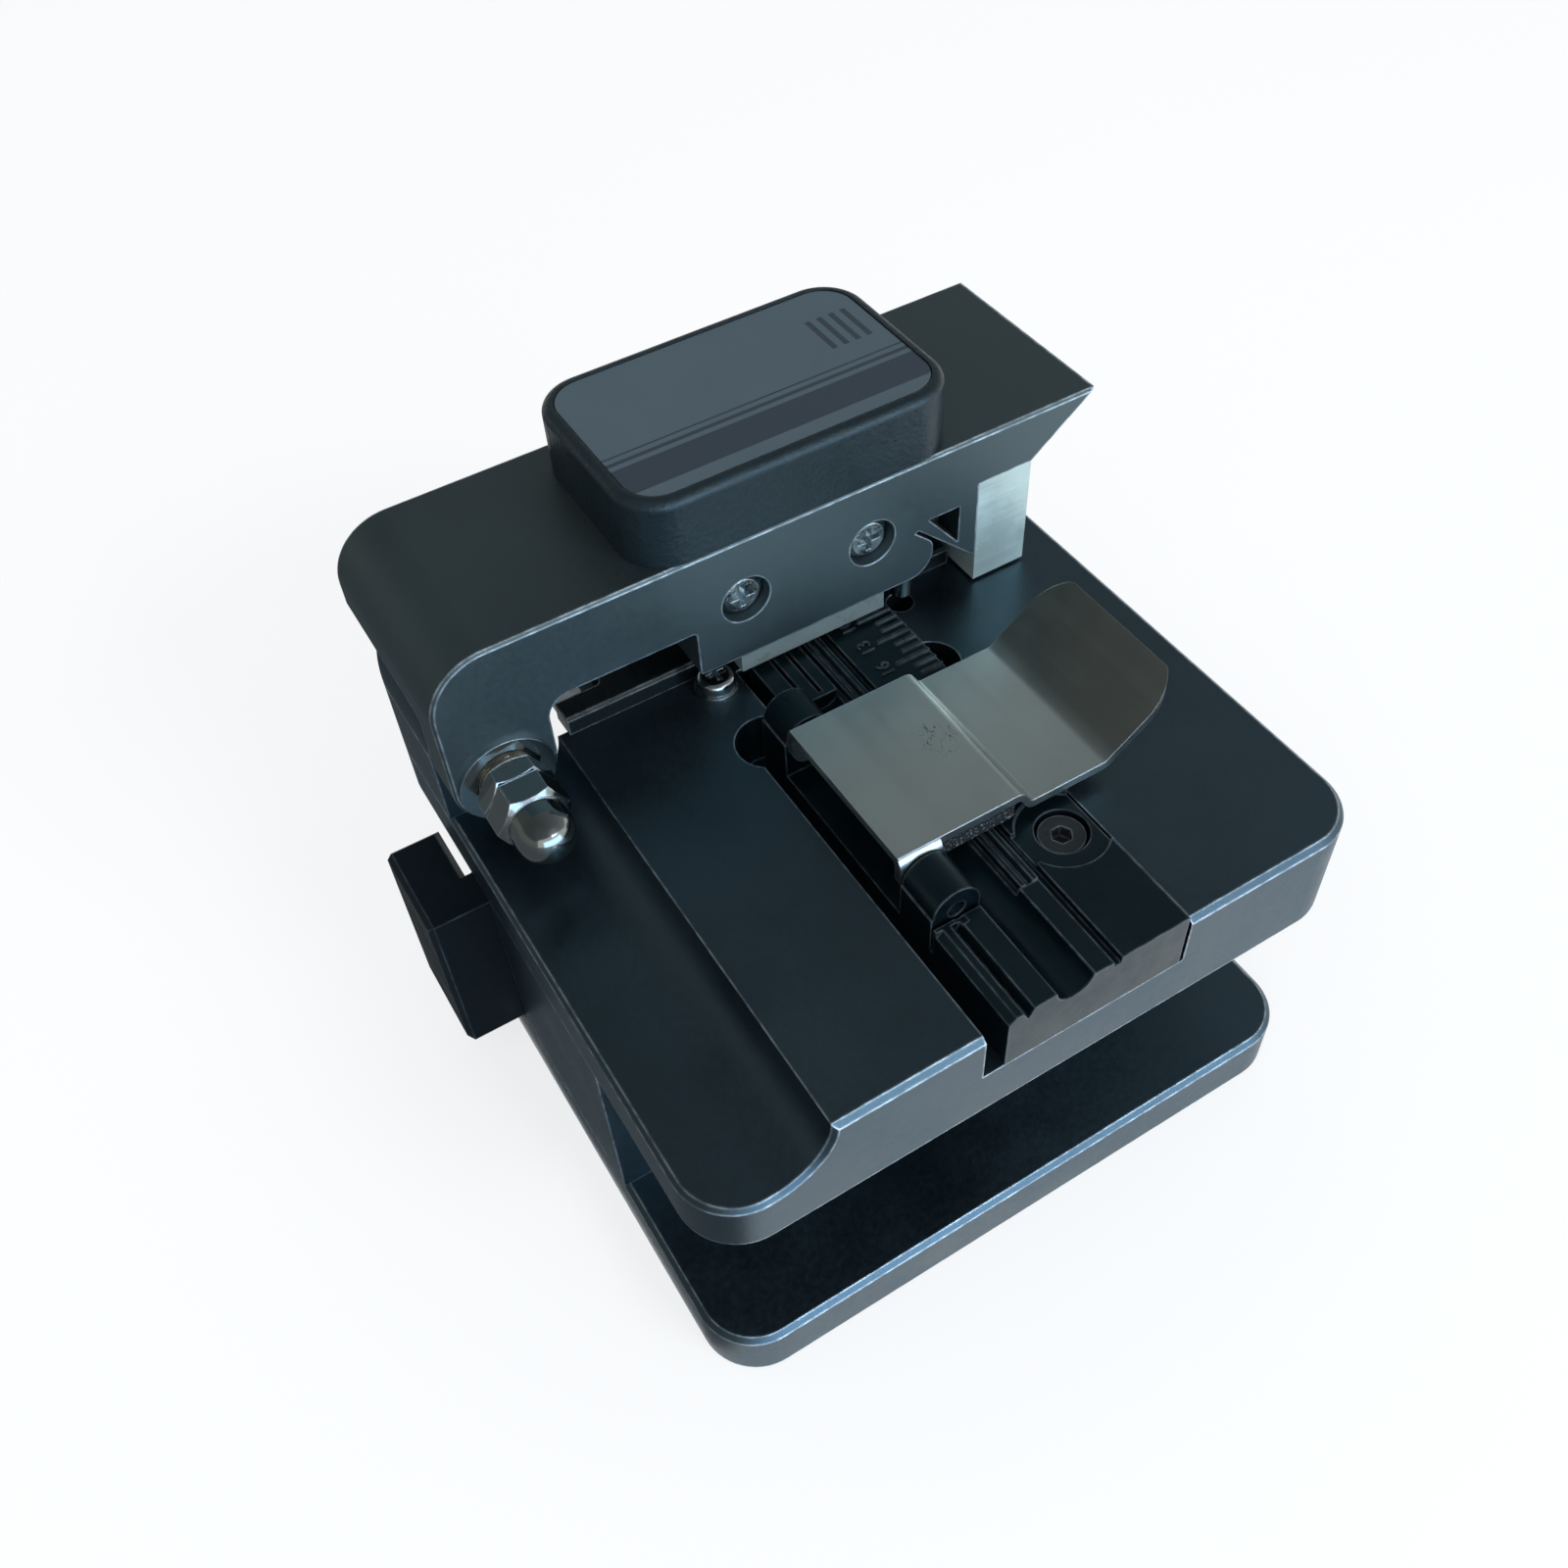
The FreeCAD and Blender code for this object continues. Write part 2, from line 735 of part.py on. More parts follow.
def fibre_grooves():
    """Cuts that run along the fibre: jacket groove, side reliefs and the fine vee."""
    left_relief = jacket_x + jacket_radius - 0.2
    vee = [
        (fibre_x - 0.35, holder_top + 0.5),
        (fibre_x - 0.35, holder_top),
        (fibre_x, holder_top - 0.45),
        (fibre_x + 0.35, holder_top),
        (fibre_x + 0.35, holder_top + 0.5),
    ]
    return [
        rod_y(jacket_radius, jacket_x, front - 1, rear_knuckle_end, holder_top + 0.15),
        box(left_relief, fibre_x - core_half_width, front_zone_end, holder_end + 1,
            holder_top - core_relief, holder_top + 1),
        box(fibre_x + core_half_width, fibre_x + core_half_width + 0.7, front - 1, holder_end + 1,
            holder_top - core_relief, holder_top + 1),
        prism_y(vee, front_zone_end, holder_end + 1),
    ]


def knuckle_clearance():
    """Cuts for the clamp hinge: the trench between the knuckles and the stepped tail behind."""
    trench = box(holder_left - 1, trench_right, knuckle_front_start - 0.3, rear_knuckle_end,
                 trench_floor, holder_top + 1)
    tail = box(holder_left - 1, tail_left, rear_knuckle_end, holder_end + 1, ledge_top - 1, holder_top + 1)
    cuts = [trench, tail]
    for x in (tail_left + 1.7, tail_left + 3.2):
        cuts.append(box(x, x + 0.35, rear_knuckle_end + 0.5, holder_end + 1,
                        holder_top - core_relief, holder_top + 1))
    return cuts


def scale_ticks():
    """Moulded length scale: a fine ridge each millimetre, every third one long."""
    right_end = holder_left + holder_width
    ridges = []
    for i in range(tick_count):
        length = tick_long if i % 3 == 0 else tick_short
        y = tick_first_y - i * tick_pitch
        ridges.append(box(right_end - length, right_end, y - tick_width / 2, y + tick_width / 2,
                          holder_top - 0.5, holder_top + tick_rise))
    return ridges


def holder_bores():
    """Counterbored screw hole in its shallow dish, and the magnet's seat."""
    x = holder_screw_x
    y = holder_screw_y
    return [
        rod_z(screw_dish_radius, x, y, holder_top - screw_dish_depth, holder_top + 1),
        box(fibre_x + core_half_width + 0.3, x, y - 1.6, y + 1.6,
            holder_top - screw_dish_depth, holder_top + 1),
        rod_z(counterbore_radius, x, y, holder_screw_seat, holder_top),
        rod_z(small_screw_diameter / 2, x, y, ledge_top - 1, holder_top),
        rod_z(magnet_radius, holder_magnet_x, holder_magnet_y, holder_top - magnet_height, holder_top + 1),
    ]


def hinge_knuckles():
    """Two round knuckles that stand on the trench floor and carry the clamp's pin."""
    knuckles = []
    for y0, y1 in ((knuckle_front_start, ear_front - ear_gap), (ear_rear + ear_gap, rear_knuckle_end)):
        knuckles.append(rod_y(knuckle_radius, clamp_x, y0, y1, clamp_z))
        knuckles.append(box(holder_left, clamp_x + knuckle_radius, y0, y1, trench_floor, clamp_z))
    return knuckles


def make_fibre_holder():
    """Moulded holder: stepped jacket grooves in front, fibre groove, knuckles and length scale."""
    body = box(holder_left, holder_left + holder_width, front, holder_end, ledge_top, holder_top)
    body = cut(body, front_grooves() + fibre_grooves() + knuckle_clearance() + holder_bores())
    body = fuse([body] + hinge_knuckles() + scale_ticks())
    pin_bore = rod_y(clamp_pin_diameter / 2, clamp_x, knuckle_front_start - 1, clamp_pin_end, clamp_z)
    return body.cut(pin_bore)


def make_holder_screw():
    length = holder_screw_seat - ledge_top + 2.6
    return socket_screw_down(holder_screw_x, holder_screw_y, holder_screw_seat, length,
                             small_screw_diameter, small_screw_head, small_screw_head_height, small_screw_key)


def make_holder_magnet():
    return rod_z(magnet_radius, holder_magnet_x, holder_magnet_y, holder_top - magnet_height, holder_top)


def make_clamp_pin():
    return rod_y(clamp_pin_diameter / 2, clamp_x, knuckle_front_start + 0.6, clamp_pin_end, clamp_z)


plate_right = holder_left + 11.4
lower_left = plate_right + 1.1
bend_x = holder_left + 19.9
plate_bottom = holder_top + clamp_lift
lower_drop = 1.5
ear_left = clamp_x - 2.1
ear_right = clamp_x + 1.7
ear_bottom = clamp_z - 1.6
pad_bottom = holder_top + safe_gap


def sheet_outline():
    """Section of the pressed sheet: flat, joggle down, flat, thumb tab up."""
    t = clamp_sheet
    angle = math.radians(tab_angle)
    low = plate_bottom - lower_drop
    tip_x = bend_x + tab_length * math.cos(angle)
    tip_z = low + tab_length * math.sin(angle)
    nx = -t * math.sin(angle)
    nz = t * math.cos(angle)
    half = t * math.tan(angle / 2)
    return [
        (ear_left, plate_bottom),
        (plate_right, plate_bottom, 0.5),
        (lower_left - 0.2, low, 1.0),
        (bend_x, low, 1.5),
        (tip_x, tip_z),
        (tip_x + nx, tip_z + nz),
        (bend_x - half, low + t, 0.8),
        (lower_left, low + t, 0.5),
        (plate_right + 0.2, plate_bottom + t, 1.0),
        (ear_left, plate_bottom + t),
    ]


def make_clamp_lever():
    """Pressed steel lever: top sheet, two ears bent down at its hinge end, rounded thumb tab."""
    t = clamp_sheet
    sheet = prism_y(sheet_outline(), clamp_front, clamp_rear)
    tip_reach = bend_x + tab_length * math.cos(math.radians(tab_angle))
    keep_round = rounded_block(ear_left - 5, tip_reach, clamp_front, clamp_rear, deck_top, arm_top, tab_corner)
    sheet = sheet.common(keep_round)
    outer = [
        (ear_front, ear_bottom),
        (ear_front, plate_bottom + t, 1.0),
        (ear_rear, plate_bottom + t, 1.0),
        (ear_rear, ear_bottom),
    ]
    inner = [
        (ear_front + t, ear_bottom - 1),
        (ear_front + t, plate_bottom, 0.3),
        (ear_rear - t, plate_bottom, 0.3),
        (ear_rear - t, ear_bottom - 1),
    ]
    ears = prism_x(outer, ear_left, ear_right).cut(prism_x(inner, ear_left - 1, ear_right + 1))
    cheek = [
        (ear_left, plate_bottom + t + 1),
        (ear_left, ear_bottom, 1.6),
        (ear_right, ear_bottom, 1.6),
        (ear_right, plate_bottom + t + 1),
    ]
    ears = ears.common(prism_y(cheek, ear_front - 1, ear_rear + 1))
    lever = fuse([sheet, ears])
    bore = rod_y(clamp_pin_diameter / 2 + running_gap, clamp_x, ear_front - 1, ear_rear + 1, clamp_z)
    return lever.cut(bore)


def make_clamp_pad():
    """Foam pad under the clamp sheet."""
    return rounded_block(ear_right + 0.1, plate_right - 0.2, clamp_front + 0.1, clamp_rear - 0.1,
                         pad_bottom, plate_bottom, 0.6)


# ================================================================ deck fittings
def cross_recess(x, y, z, size, depth):
    """Cross slot cut down into a screw head at height z."""
    arm_one = box(x - size / 2, x + size / 2, y - size / 8, y + size / 8, z - depth, z + 1)
    arm_two = box(x - size / 8, x + size / 8, y - size / 2, y + size / 2, z - depth, z + 1)
    return arm_one.fuse(arm_two)


def make_stop_washer():
    washer = rod_z(1.85, stop_screw_x, stop_screw_y, deck_top, deck_top + 0.4)
    hole_radius = small_screw_diameter / 2 + running_gap
    return washer.cut(rod_z(hole_radius, stop_screw_x, stop_screw_y, deck_top - 1, deck_top + 1))


def make_stop_screw():
    """Small pan head screw beside the holder slot."""
    seat = deck_top + 0.4
    head = rod_z(1.65, stop_screw_x, stop_screw_y, seat, seat + 1.3)
    head = head.makeFillet(0.6, top_edges(head, seat + 1.3))
    shank = rod_z(small_screw_diameter / 2, stop_screw_x, stop_screw_y, deck_top - 4.5, seat)
    screw = fuse([head, shank])
    return screw.cut(cross_recess(stop_screw_x, stop_screw_y, seat + 1.3, 1.7, 0.7))


def make_leg_plate():
    """Steel disc let into the deck under the arm's magnet."""
    return rod_z(leg_magnet_radius, leg_centre_x, leg_magnet_y, deck_top - magnet_height, deck_top)


# ================================================================ arm
screw_row_z = beam_bottom + 1.25
clamp_screw_xs = [cap_centre_x - 6.05, cap_centre_x + 5.95]
clamp_screw_bore = 2.2
clamp_screw_seat = arm_front + 2.0
pocket_left = fibre_x - 8.4
pocket_right = fibre_x + 7.6
pocket_front = arm_front + 3.0
pocket_rear = rear - 2.0
pocket_top = deck_top + 11.9
shoe_left = fibre_x - 7.1
shoe_right = fibre_x + 7.0
shoe_front = arm_front + 0.4
shoe_rear = rear - 1.2
shoe_bottom = deck_top + 1.5
window_depth = 3.0
web_top = deck_top + 8.7
web_left = closing_leg_left - 6.0
web_foot = deck_top + 3.1
nose_slit = 0.45
leg_top = deck_top + 10.95
leg_screw_y = arm_front + 6.3
anvil_radius = 1.25
cap_rear = rear - 0.55
cap_front = cap_rear - cap_width
cap_top = arm_top + cap_height
cap_screw_points = [(cap_centre_x + dx, (cap_front + cap_rear) / 2) for dx in (-10.8, 10.8)]
cap_screw_seat = arm_top + 2.6


def arm_outline():
    """Front view of the arm from the hinge foot over the beam to the sloping finger end."""
    leg_right = hinge_x + hinge_inset
    web_slope = (web_foot - web_top) / (closing_leg_left - web_left)
    nose_shoulder = web_top + web_slope * (drop_right - web_left) - nose_slit
    return [
        (left, hinge_z - hinge_inset, hinge_inset - 0.01),
        (leg_right, hinge_z - hinge_inset, hinge_inset - 0.01),
        (leg_right, beam_bottom, 2.0),
        (drop_left, beam_bottom, 0.4),
        (drop_left, drop_bottom, 0.3),
        (drop_right, drop_bottom, drop_lobe_radius - 0.01),
        (drop_right, nose_shoulder, 1.2),
        (web_left - 0.35, nose_shoulder + web_slope * (web_left - 0.35 - drop_right)),
        (web_left, web_top),
        (closing_leg_left, web_foot),
        (closing_leg_left, leg_top),
        (closing_leg_left + closing_leg_width, leg_top),
        (arm_right, arm_top),
        (left, arm_top, arm_corner),
    ]


def ring_bevel(x, z, radius, z0, z1):
    """Cut that bevels the front rim of a round edge about (x, z) between two heights."""
    depth = arm_bevel + 1
    block = box(x - radius - 1, x + radius + 1, arm_front - 1, arm_front + arm_bevel, z0, z1)
    cone = Part.makeCone(radius - depth, radius, depth, Vector(x, arm_front - 1, z), Vector(0, 1, 0))
    return block.cut(cone)


def front_bevels():
    """Cuts for the fine bevel along the arm's front rim: top, rounded corner, side and foot."""
    outside = [(-1, 1), (-1, -arm_bevel - 1), (arm_bevel + 1, 1)]
    along_top = [(arm_front + dy, arm_top + dz) for dy, dz in outside]
    along_side = [(left - dz, arm_front + dy) for dy, dz in outside]
    corner_x = left + arm_corner
    corner = ring_bevel(corner_x, arm_top - arm_corner, arm_corner, arm_top - arm_corner, arm_top + 1)
    keep = box(left - 2, corner_x, arm_front - 2, arm_front + 2, arm_top - arm_corner, arm_top + 2)
    return [
        prism_x(along_top, corner_x, arm_right + 1),
        prism_z(along_side, hinge_z, arm_top - arm_corner),
        corner.common(keep),
        ring_bevel(hinge_x, hinge_z, hinge_inset, hinge_z - hinge_inset - 1, hinge_z),
    ]


def make_lever_arm():
    """One milled bar: hinge leg, beam, clamp drop with its round nose, web and finger end."""
    arm = prism_y(arm_outline(), arm_front, rear)
    leg_right = hinge_x + hinge_inset
    behind_leg = [
        (arm_leg_rear, ledge_top),
        (arm_leg_rear, beam_bottom, 1.5),
        (rear + 1, beam_bottom),
        (rear + 1, ledge_top),
    ]
    window = [
        (closing_leg_left - 5.0, deck_top + 9.4),
        (closing_leg_left - 1.85, deck_top + 9.4),
        (closing_leg_left - 1.9, deck_top + 5.6),
    ]
    tools = [
        rod_y(bearing_diameter / 2, hinge_x, arm_front - 1, arm_leg_rear + 1, hinge_z),
        box(pocket_left, pocket_right, pocket_front, pocket_rear, drop_bottom - 1, pocket_top),
        prism_y(window, arm_front - 1, arm_front + window_depth),
        rod_z(anvil_radius, fibre_x, cleave_y, pocket_top - 1, arm_top + 1),
        rod_z(1.25, leg_centre_x, leg_screw_y, leg_top, leg_top + 3.6),
        rod_z(pin_radius, drop_lobe_x, pin_hole_y, drop_bottom - 1, drop_bottom + 4),
    ]
    for x in clamp_screw_xs:
        tools.append(rod_y(clamp_screw_bore, x, arm_front - 1, clamp_screw_seat, screw_row_z))
        tools.append(rod_y(1.25, x, arm_front, pocket_front + 1, screw_row_z))
    for x, y in cap_screw_points:
        tools.append(rod_z(small_screw_diameter / 2, x, y, arm_top - 3.0, arm_top + 1))
    arm = cut(arm, tools + front_bevels())
    return arm.cut(prism_x(behind_leg, left - 1, leg_right + 3))


def make_cap():
    """Moulded block on the arm with a rounded top edge and a shallow bed for the label."""
    x0 = cap_centre_x - cap_length / 2
    x1 = cap_centre_x + cap_length / 2
    block = rounded_block(x0, x1, cap_front, cap_rear, arm_top, cap_top, 4.0)
    block = block.makeFillet(0.8, top_edges(block, cap_top))
    bed = rounded_block(x0 + label_margin, x1 - label_margin,
                        cap_front + label_margin, cap_rear - label_margin,
                        cap_top - label_thickness, cap_top + 1, 3.0)
    tools = [bed]
    for x, y in cap_screw_points:
        tools.append(rod_z(small_screw_diameter / 2, x, y, arm_top - 1, arm_top + 3))
        tools.append(rod_z(small_screw_head / 2 + small_gap, x, y, cap_screw_seat, cap_top))
    return cut(block, tools)


def make_label_plate():
    inset = label_margin + 0.1
    x0 = cap_centre_x - cap_length / 2 + inset
    x1 = cap_centre_x + cap_length / 2 - inset
    return rounded_block(x0, x1, cap_front + inset, cap_rear - inset,
                         cap_top - label_thickness, cap_top - running_gap, 2.9)


def make_cap_screws():
    screws = []
    for x, y in cap_screw_points:
        screws.append(socket_screw_down(x, y, cap_screw_seat, 5.4, small_screw_diameter,
                                        small_screw_head, small_screw_head_height, small_screw_key))
    return Part.Compound(screws)


def make_closing_leg():
    """Bright foot under the arm's free end, with the magnet's seat in its sole."""
    z0 = deck_top + closing_leg_gap
    leg = box(closing_leg_left + 0.02, closing_leg_left + closing_leg_width, arm_front,
              arm_front + closing_leg_depth, z0, leg_top)
    tools = [
        rod_z(leg_magnet_radius, leg_centre_x, leg_magnet_y, z0 - 1, z0 + magnet_height),
        rod_z(1.25, leg_centre_x, leg_screw_y, z0, leg_top + 1),
        rod_z(2.3, leg_centre_x, leg_screw_y, z0 - 1, z0 + 2.6),
    ]
    return cut(leg, tools)


def make_leg_magnet():
    z0 = deck_top + closing_leg_gap
    return rod_z(leg_magnet_radius, leg_centre_x, leg_magnet_y, z0, z0 + magnet_height)


def make_leg_screw():
    seat = deck_top + closing_leg_gap + 2.6
    return socket_screw_up(leg_centre_x, leg_screw_y, seat, leg_top + 3.4 - seat, leg_screw_diameter,
                           leg_screw_head, leg_screw_head_height, 2.0)


def make_upper_clamp():
    """Clamp shoe: a plate under the drop and a block held in the arm's pocket."""
    plate = box(shoe_left, shoe_right, shoe_front, shoe_rear, shoe_bottom, drop_bottom)
    block = box(pocket_left + running_gap, pocket_right - running_gap, pocket_front + running_gap,
                pocket_rear - running_gap, drop_bottom, pocket_top - running_gap)
    shoe = fuse([plate, block])
    tools = [rod_z(anvil_radius, fibre_x, cleave_y, shoe_bottom - 1, pocket_top + 1)]
    for x in clamp_screw_xs:
        tools.append(rod_y(1.25, x, pocket_front - 1, pocket_front + 5, screw_row_z))
    return cut(shoe, tools)


def make_upper_pads():
    return pad_pair(upper_pad_bottom, shoe_bottom)


def make_clamp_screws():
    """Cross-recessed screws, sunk in the arm's front, that hold the clamp shoe."""
    screws = []
    face = clamp_screw_seat - 1.4
    for x in clamp_screw_xs:
        head = rod_y(2.0, x, face, clamp_screw_seat, screw_row_z)
        rim = []
        for edge in head.Edges:
            if abs(edge.BoundBox.YMax - face) < 1e-5:
                rim.append(edge)
        head = head.makeChamfer(0.5, rim)
        shank = rod_y(1.25, x, clamp_screw_seat, pocket_front + 4.6, screw_row_z)
        screw = fuse([head, shank])
        slot_one = box(x - 1.1, x + 1.1, face - 1, face + 0.7, screw_row_z - 0.27, screw_row_z + 0.27)
        slot_two = box(x - 0.27, x + 0.27, face - 1, face + 0.7, screw_row_z - 1.1, screw_row_z + 1.1)
        screws.append(cut(screw, [slot_one, slot_two]))
    return Part.Compound(screws)


def make_anvil():
    """Round anvil on the cleave line, set from above by the screw under the cap."""
    tip = fibre_z + 0.35
    shank = rod_z(anvil_radius, fibre_x, cleave_y, tip + 1.0, arm_top - 3.0)
    nose = Part.makeCone(0.5, anvil_radius, 1.0, Vector(fibre_x, cleave_y, tip), Vector(0, 0, 1))
    return fuse([shank, nose])


def make_anvil_adjuster():
    """Grub screw that sets the anvil's height."""
    body = rod_z(anvil_radius, fibre_x, cleave_y, arm_top - 3.0, arm_top - 0.1)
    return body.cut(hexagon_z(1.3, fibre_x, cleave_y, arm_top - 1.6, arm_top))


def make_guide_pin():
    """Steel dowel under the drop that keys over its hole in the deck."""
    pin = rod_z(pin_radius, drop_lobe_x, pin_hole_y, deck_top + 1.2, drop_bottom + 4)
    return pin.makeChamfer(0.25, top_edges(pin, deck_top + 1.2))


# ================================================================ slide and blade
rail_left = left + 5.0
rail_right = right - rear_post_width - 0.6
upright_front = cleave_y + blade_thickness / 2 + 0.9
upright_depth = 2.2
upright_width = 9.0
bracket_thickness = 3.0
bracket_screw_shift = 1.4
bracket_top = carriage_top + bracket_thickness
bar_front = channel_front + slide_clearance + neck_depth
bar_depth = 1.5
bar_bottom = base_top + 7.0
bar_height = 7.0
bar_left = left + 3.6
bar_right = blade_rest_x + 5.0
neck_right = left + 12.0
knob_front = channel_front + slide_clearance
knob_bottom = base_top + 0.6
knob_top = deck_bottom - 0.6
bar_screw_points = [left + 5.8, left + 9.8]
bracket_front = bar_front + bar_depth


def make_rail():
    """Guide rail with a ball groove along each flank."""
    half = rail_width / 2
    waist = 0.5
    z0 = base_top
    section = [
        (cleave_y - half, z0),
        (cleave_y - half, z0 + 1.5),
        (cleave_y - half + waist, z0 + 1.9),
        (cleave_y - half + waist, z0 + 2.4),
        (cleave_y - half, z0 + 2.8),
        (cleave_y - half, z0 + rail_height),
        (cleave_y + half, z0 + rail_height),
        (cleave_y + half, z0 + 2.8),
        (cleave_y + half - waist, z0 + 2.4),
        (cleave_y + half - waist, z0 + 1.9),
        (cleave_y + half, z0 + 1.5),
        (cleave_y + half, z0),
    ]
    rail = prism_x(section, rail_left, rail_right)
    tools = []
    for x in rail_screw_xs:
        tools.append(rod_z(small_screw_diameter / 2, x, cleave_y, z0 - 1, z0 + rail_height + 1))
        tools.append(rod_z(1.7, x, cleave_y, z0 + rail_height - 1.3, z0 + rail_height + 1))
    return cut(rail, tools)


def make_rail_screws():
    screws = []
    seat = base_top + rail_height - 1.3
    for x in rail_screw_xs:
        length = seat - base_top + 3.2
        screws.append(socket_screw_down(x, cleave_y, seat, length, small_screw_diameter, low_screw_head,
                                        low_screw_head_height, low_screw_key))
    return Part.Compound(screws)


def make_carriage():
    """Ball carriage astride the rail."""
    x0 = blade_rest_x - carriage_length / 2
    x1 = blade_rest_x + carriage_length / 2
    cap = 1.3
    block = box(x0 + cap, x1 - cap, cleave_y - carriage_width / 2, cleave_y + carriage_width / 2,
                base_top + 0.8, carriage_top)
    gap = 0.08
    way = box(x0 - 1, x1 + 1, cleave_y - rail_width / 2 - gap, cleave_y + rail_width / 2 + gap,
              base_top, base_top + rail_height + gap)
    tools = [way]
    for dx in (-5.0, 5.0):
        tools.append(rod_z(1.0, blade_rest_x + dx, cleave_y - bracket_screw_shift,
                           carriage_top - 2.4, carriage_top + 1))
    return cut(block, tools)


def make_carriage_caps():
    """Plastic end plates that turn the balls round."""
    caps = []
    x0 = blade_rest_x - carriage_length / 2
    x1 = blade_rest_x + carriage_length / 2
    for a, b in ((x0, x0 + 1.3), (x1 - 1.3, x1)):
        cap = box(a, b, cleave_y - carriage_width / 2 + 0.3, cleave_y + carriage_width / 2 - 0.3,
                  base_top + 1.0, carriage_top - 0.3)
        way = box(a - 1, b + 1, cleave_y - rail_width / 2 - 0.15, cleave_y + rail_width / 2 + 0.15,
                  base_top, base_top + rail_height + 0.15)
        caps.append(cap.cut(way))
    return Part.Compound(caps)


def make_blade_bracket():
    """Machined bracket: foot on the carriage and an upright with the blade's seat."""
    x0 = blade_rest_x - carriage_length / 2 + 1.5
    x1 = blade_rest_x + carriage_length / 2 - 1.5
    foot = box(x0, x1, bracket_front, cleave_y + carriage_width / 2, carriage_top, bracket_top)
    lug = box(x0, x1, bracket_front, bracket_front + 2.2, carriage_top, bar_bottom + bar_height)
    upright = [
        (blade_rest_x - upright_width / 2, carriage_top),
        (blade_rest_x + upright_width / 2, carriage_top),
        (blade_rest_x + upright_width / 2, blade_z + upright_width / 2 - 0.2, upright_width / 2 - 0.01),
        (blade_rest_x - upright_width / 2, blade_z + upright_width / 2 - 0.2, upright_width / 2 - 0.01),
    ]
    wall = prism_y(upright, upright_front, upright_front + upright_depth)
    bracket = fuse([foot, lug, wall])
    tools = [rod_y(1.25, blade_rest_x, upright_front - 1, upright_front + upright_depth + 1, blade_z)]
    for dx in (-5.0, 5.0):
        tools.append(rod_z(1.0, blade_rest_x + dx, cleave_y - bracket_screw_shift, carriage_top - 1, bracket_top + 1))
        tools.append(rod_z(1.75, blade_rest_x + dx, cleave_y - bracket_screw_shift, bracket_top - 1.3, bracket_top + 1))
    for x in (blade_rest_x - 4.0, blade_rest_x + 3.0):
        tools.append(rod_y(1.0, x, bracket_front - 1, bracket_front + 1.8, bar_bottom + bar_height / 2))
    return cut(bracket, tools)


def make_bracket_screws():
    screws = []
    for dx in (-5.0, 5.0):
        screws.append(socket_screw_down(blade_rest_x + dx, cleave_y - bracket_screw_shift, bracket_top - 1.3, 3.9,
                                        small_screw_diameter, 3.4, 1.2, 1.3))
    return Part.Compound(screws)


def make_pull_bar():
    """Flat steel bar that joins the knob to the blade bracket."""
    bar = box(bar_left, bar_right, bar_front, bar_front + bar_depth, bar_bottom, bar_bottom + bar_height)
    tools = []
    z = bar_bottom + bar_height / 2
    for x in bar_screw_points + [blade_rest_x - 4.0, blade_rest_x + 3.0]:
        tools.append(rod_y(1.0, x, bar_front - 1, bar_front + bar_depth + 1, z))
    return cut(bar, tools)


def make_bar_screws():
    """Button screws: two into the knob's neck from behind, two into the bracket from in front."""
    screws = []
    z = bar_bottom + bar_height / 2
    for x in bar_screw_points:
        head = rod_y(1.75, x, bar_front + bar_depth, bar_front + bar_depth + 1.2, z)
        shank = rod_y(1.0, x, bar_front - 2.4, bar_front + bar_depth, z)
        screws.append(fuse([head, shank]))
    for x in (blade_rest_x - 4.0, blade_rest_x + 3.0):
        head = rod_y(1.8, x, bar_front - 1.2, bar_front, z)
        shank = rod_y(1.0, x, bar_front, bar_front + bar_depth + 1.6, z)
        screws.append(fuse([head, shank]))
    return Part.Compound(screws)


def make_slider_knob():
    """L-shaped push knob: finger plate outside the body and a neck that enters the channel."""
    x0 = left - knob_gap - knob_thickness
    x1 = left - knob_gap
    plate = box(x0, x1, knob_front, knob_front + knob_depth, knob_bottom, knob_top)
    neck = box(x1 - 0.1, neck_right, knob_front, knob_front + neck_depth, knob_bottom, knob_top)
    knob = fuse([plate, neck])
    rim = []
    for edge in knob.Edges:
        bound = edge.BoundBox
        outer = abs(bound.XMin - x0) < 1e-4 and abs(bound.XMax - x0) < 1e-4
        upper = abs(bound.ZMin - knob_top) < 1e-4 and bound.XMax < x1 + 1e-3
        lower = abs(bound.ZMax - knob_bottom) < 1e-4 and bound.XMax < x1 + 1e-3
        if outer or upper or lower:
            rim.append(edge)
    knob = knob.makeChamfer(0.5, rim)
    z = bar_bottom + bar_height / 2
    tools = [rod_y(1.0, x, knob_front + 0.8, bar_front + 1, z) for x in bar_screw_points]
    return cut(knob, tools)


def make_blade():
    """Carbide scoring wheel with a double bevel and a sharp rim."""
    radius = blade_diameter / 2
    half = blade_thickness / 2
    profile = [
        (-half, blade_bore / 2 + running_gap),
        (-half, radius - 1.9),
        (-0.35, radius - 0.7),
        (0, radius),
        (0.35, radius - 0.7),
        (half, radius - 1.9),
        (half, blade_bore / 2 + running_gap),
    ]
    return turned(profile, Vector(blade_rest_x, cleave_y, blade_z), Vector(0, 1, 0), Vector(1, 0, 0))


def make_blade_screw():
    """Shoulder screw that the blade is indexed on."""
    half = blade_thickness / 2
    head = rod_y(2.9, blade_rest_x, cleave_y - half - 1.5, cleave_y - half - running_gap, blade_z)
    shoulder = rod_y(blade_bore / 2, blade_rest_x, cleave_y - half - running_gap, upright_front, blade_z)
    thread = rod_y(1.25, blade_rest_x, upright_front, upright_front + upright_depth, blade_z)
    screw = fuse([head, shoulder, thread])
    return screw.cut(hexagon_y(2.0, blade_rest_x, blade_z, cleave_y - half - 1.6, cleave_y - half - 0.6))


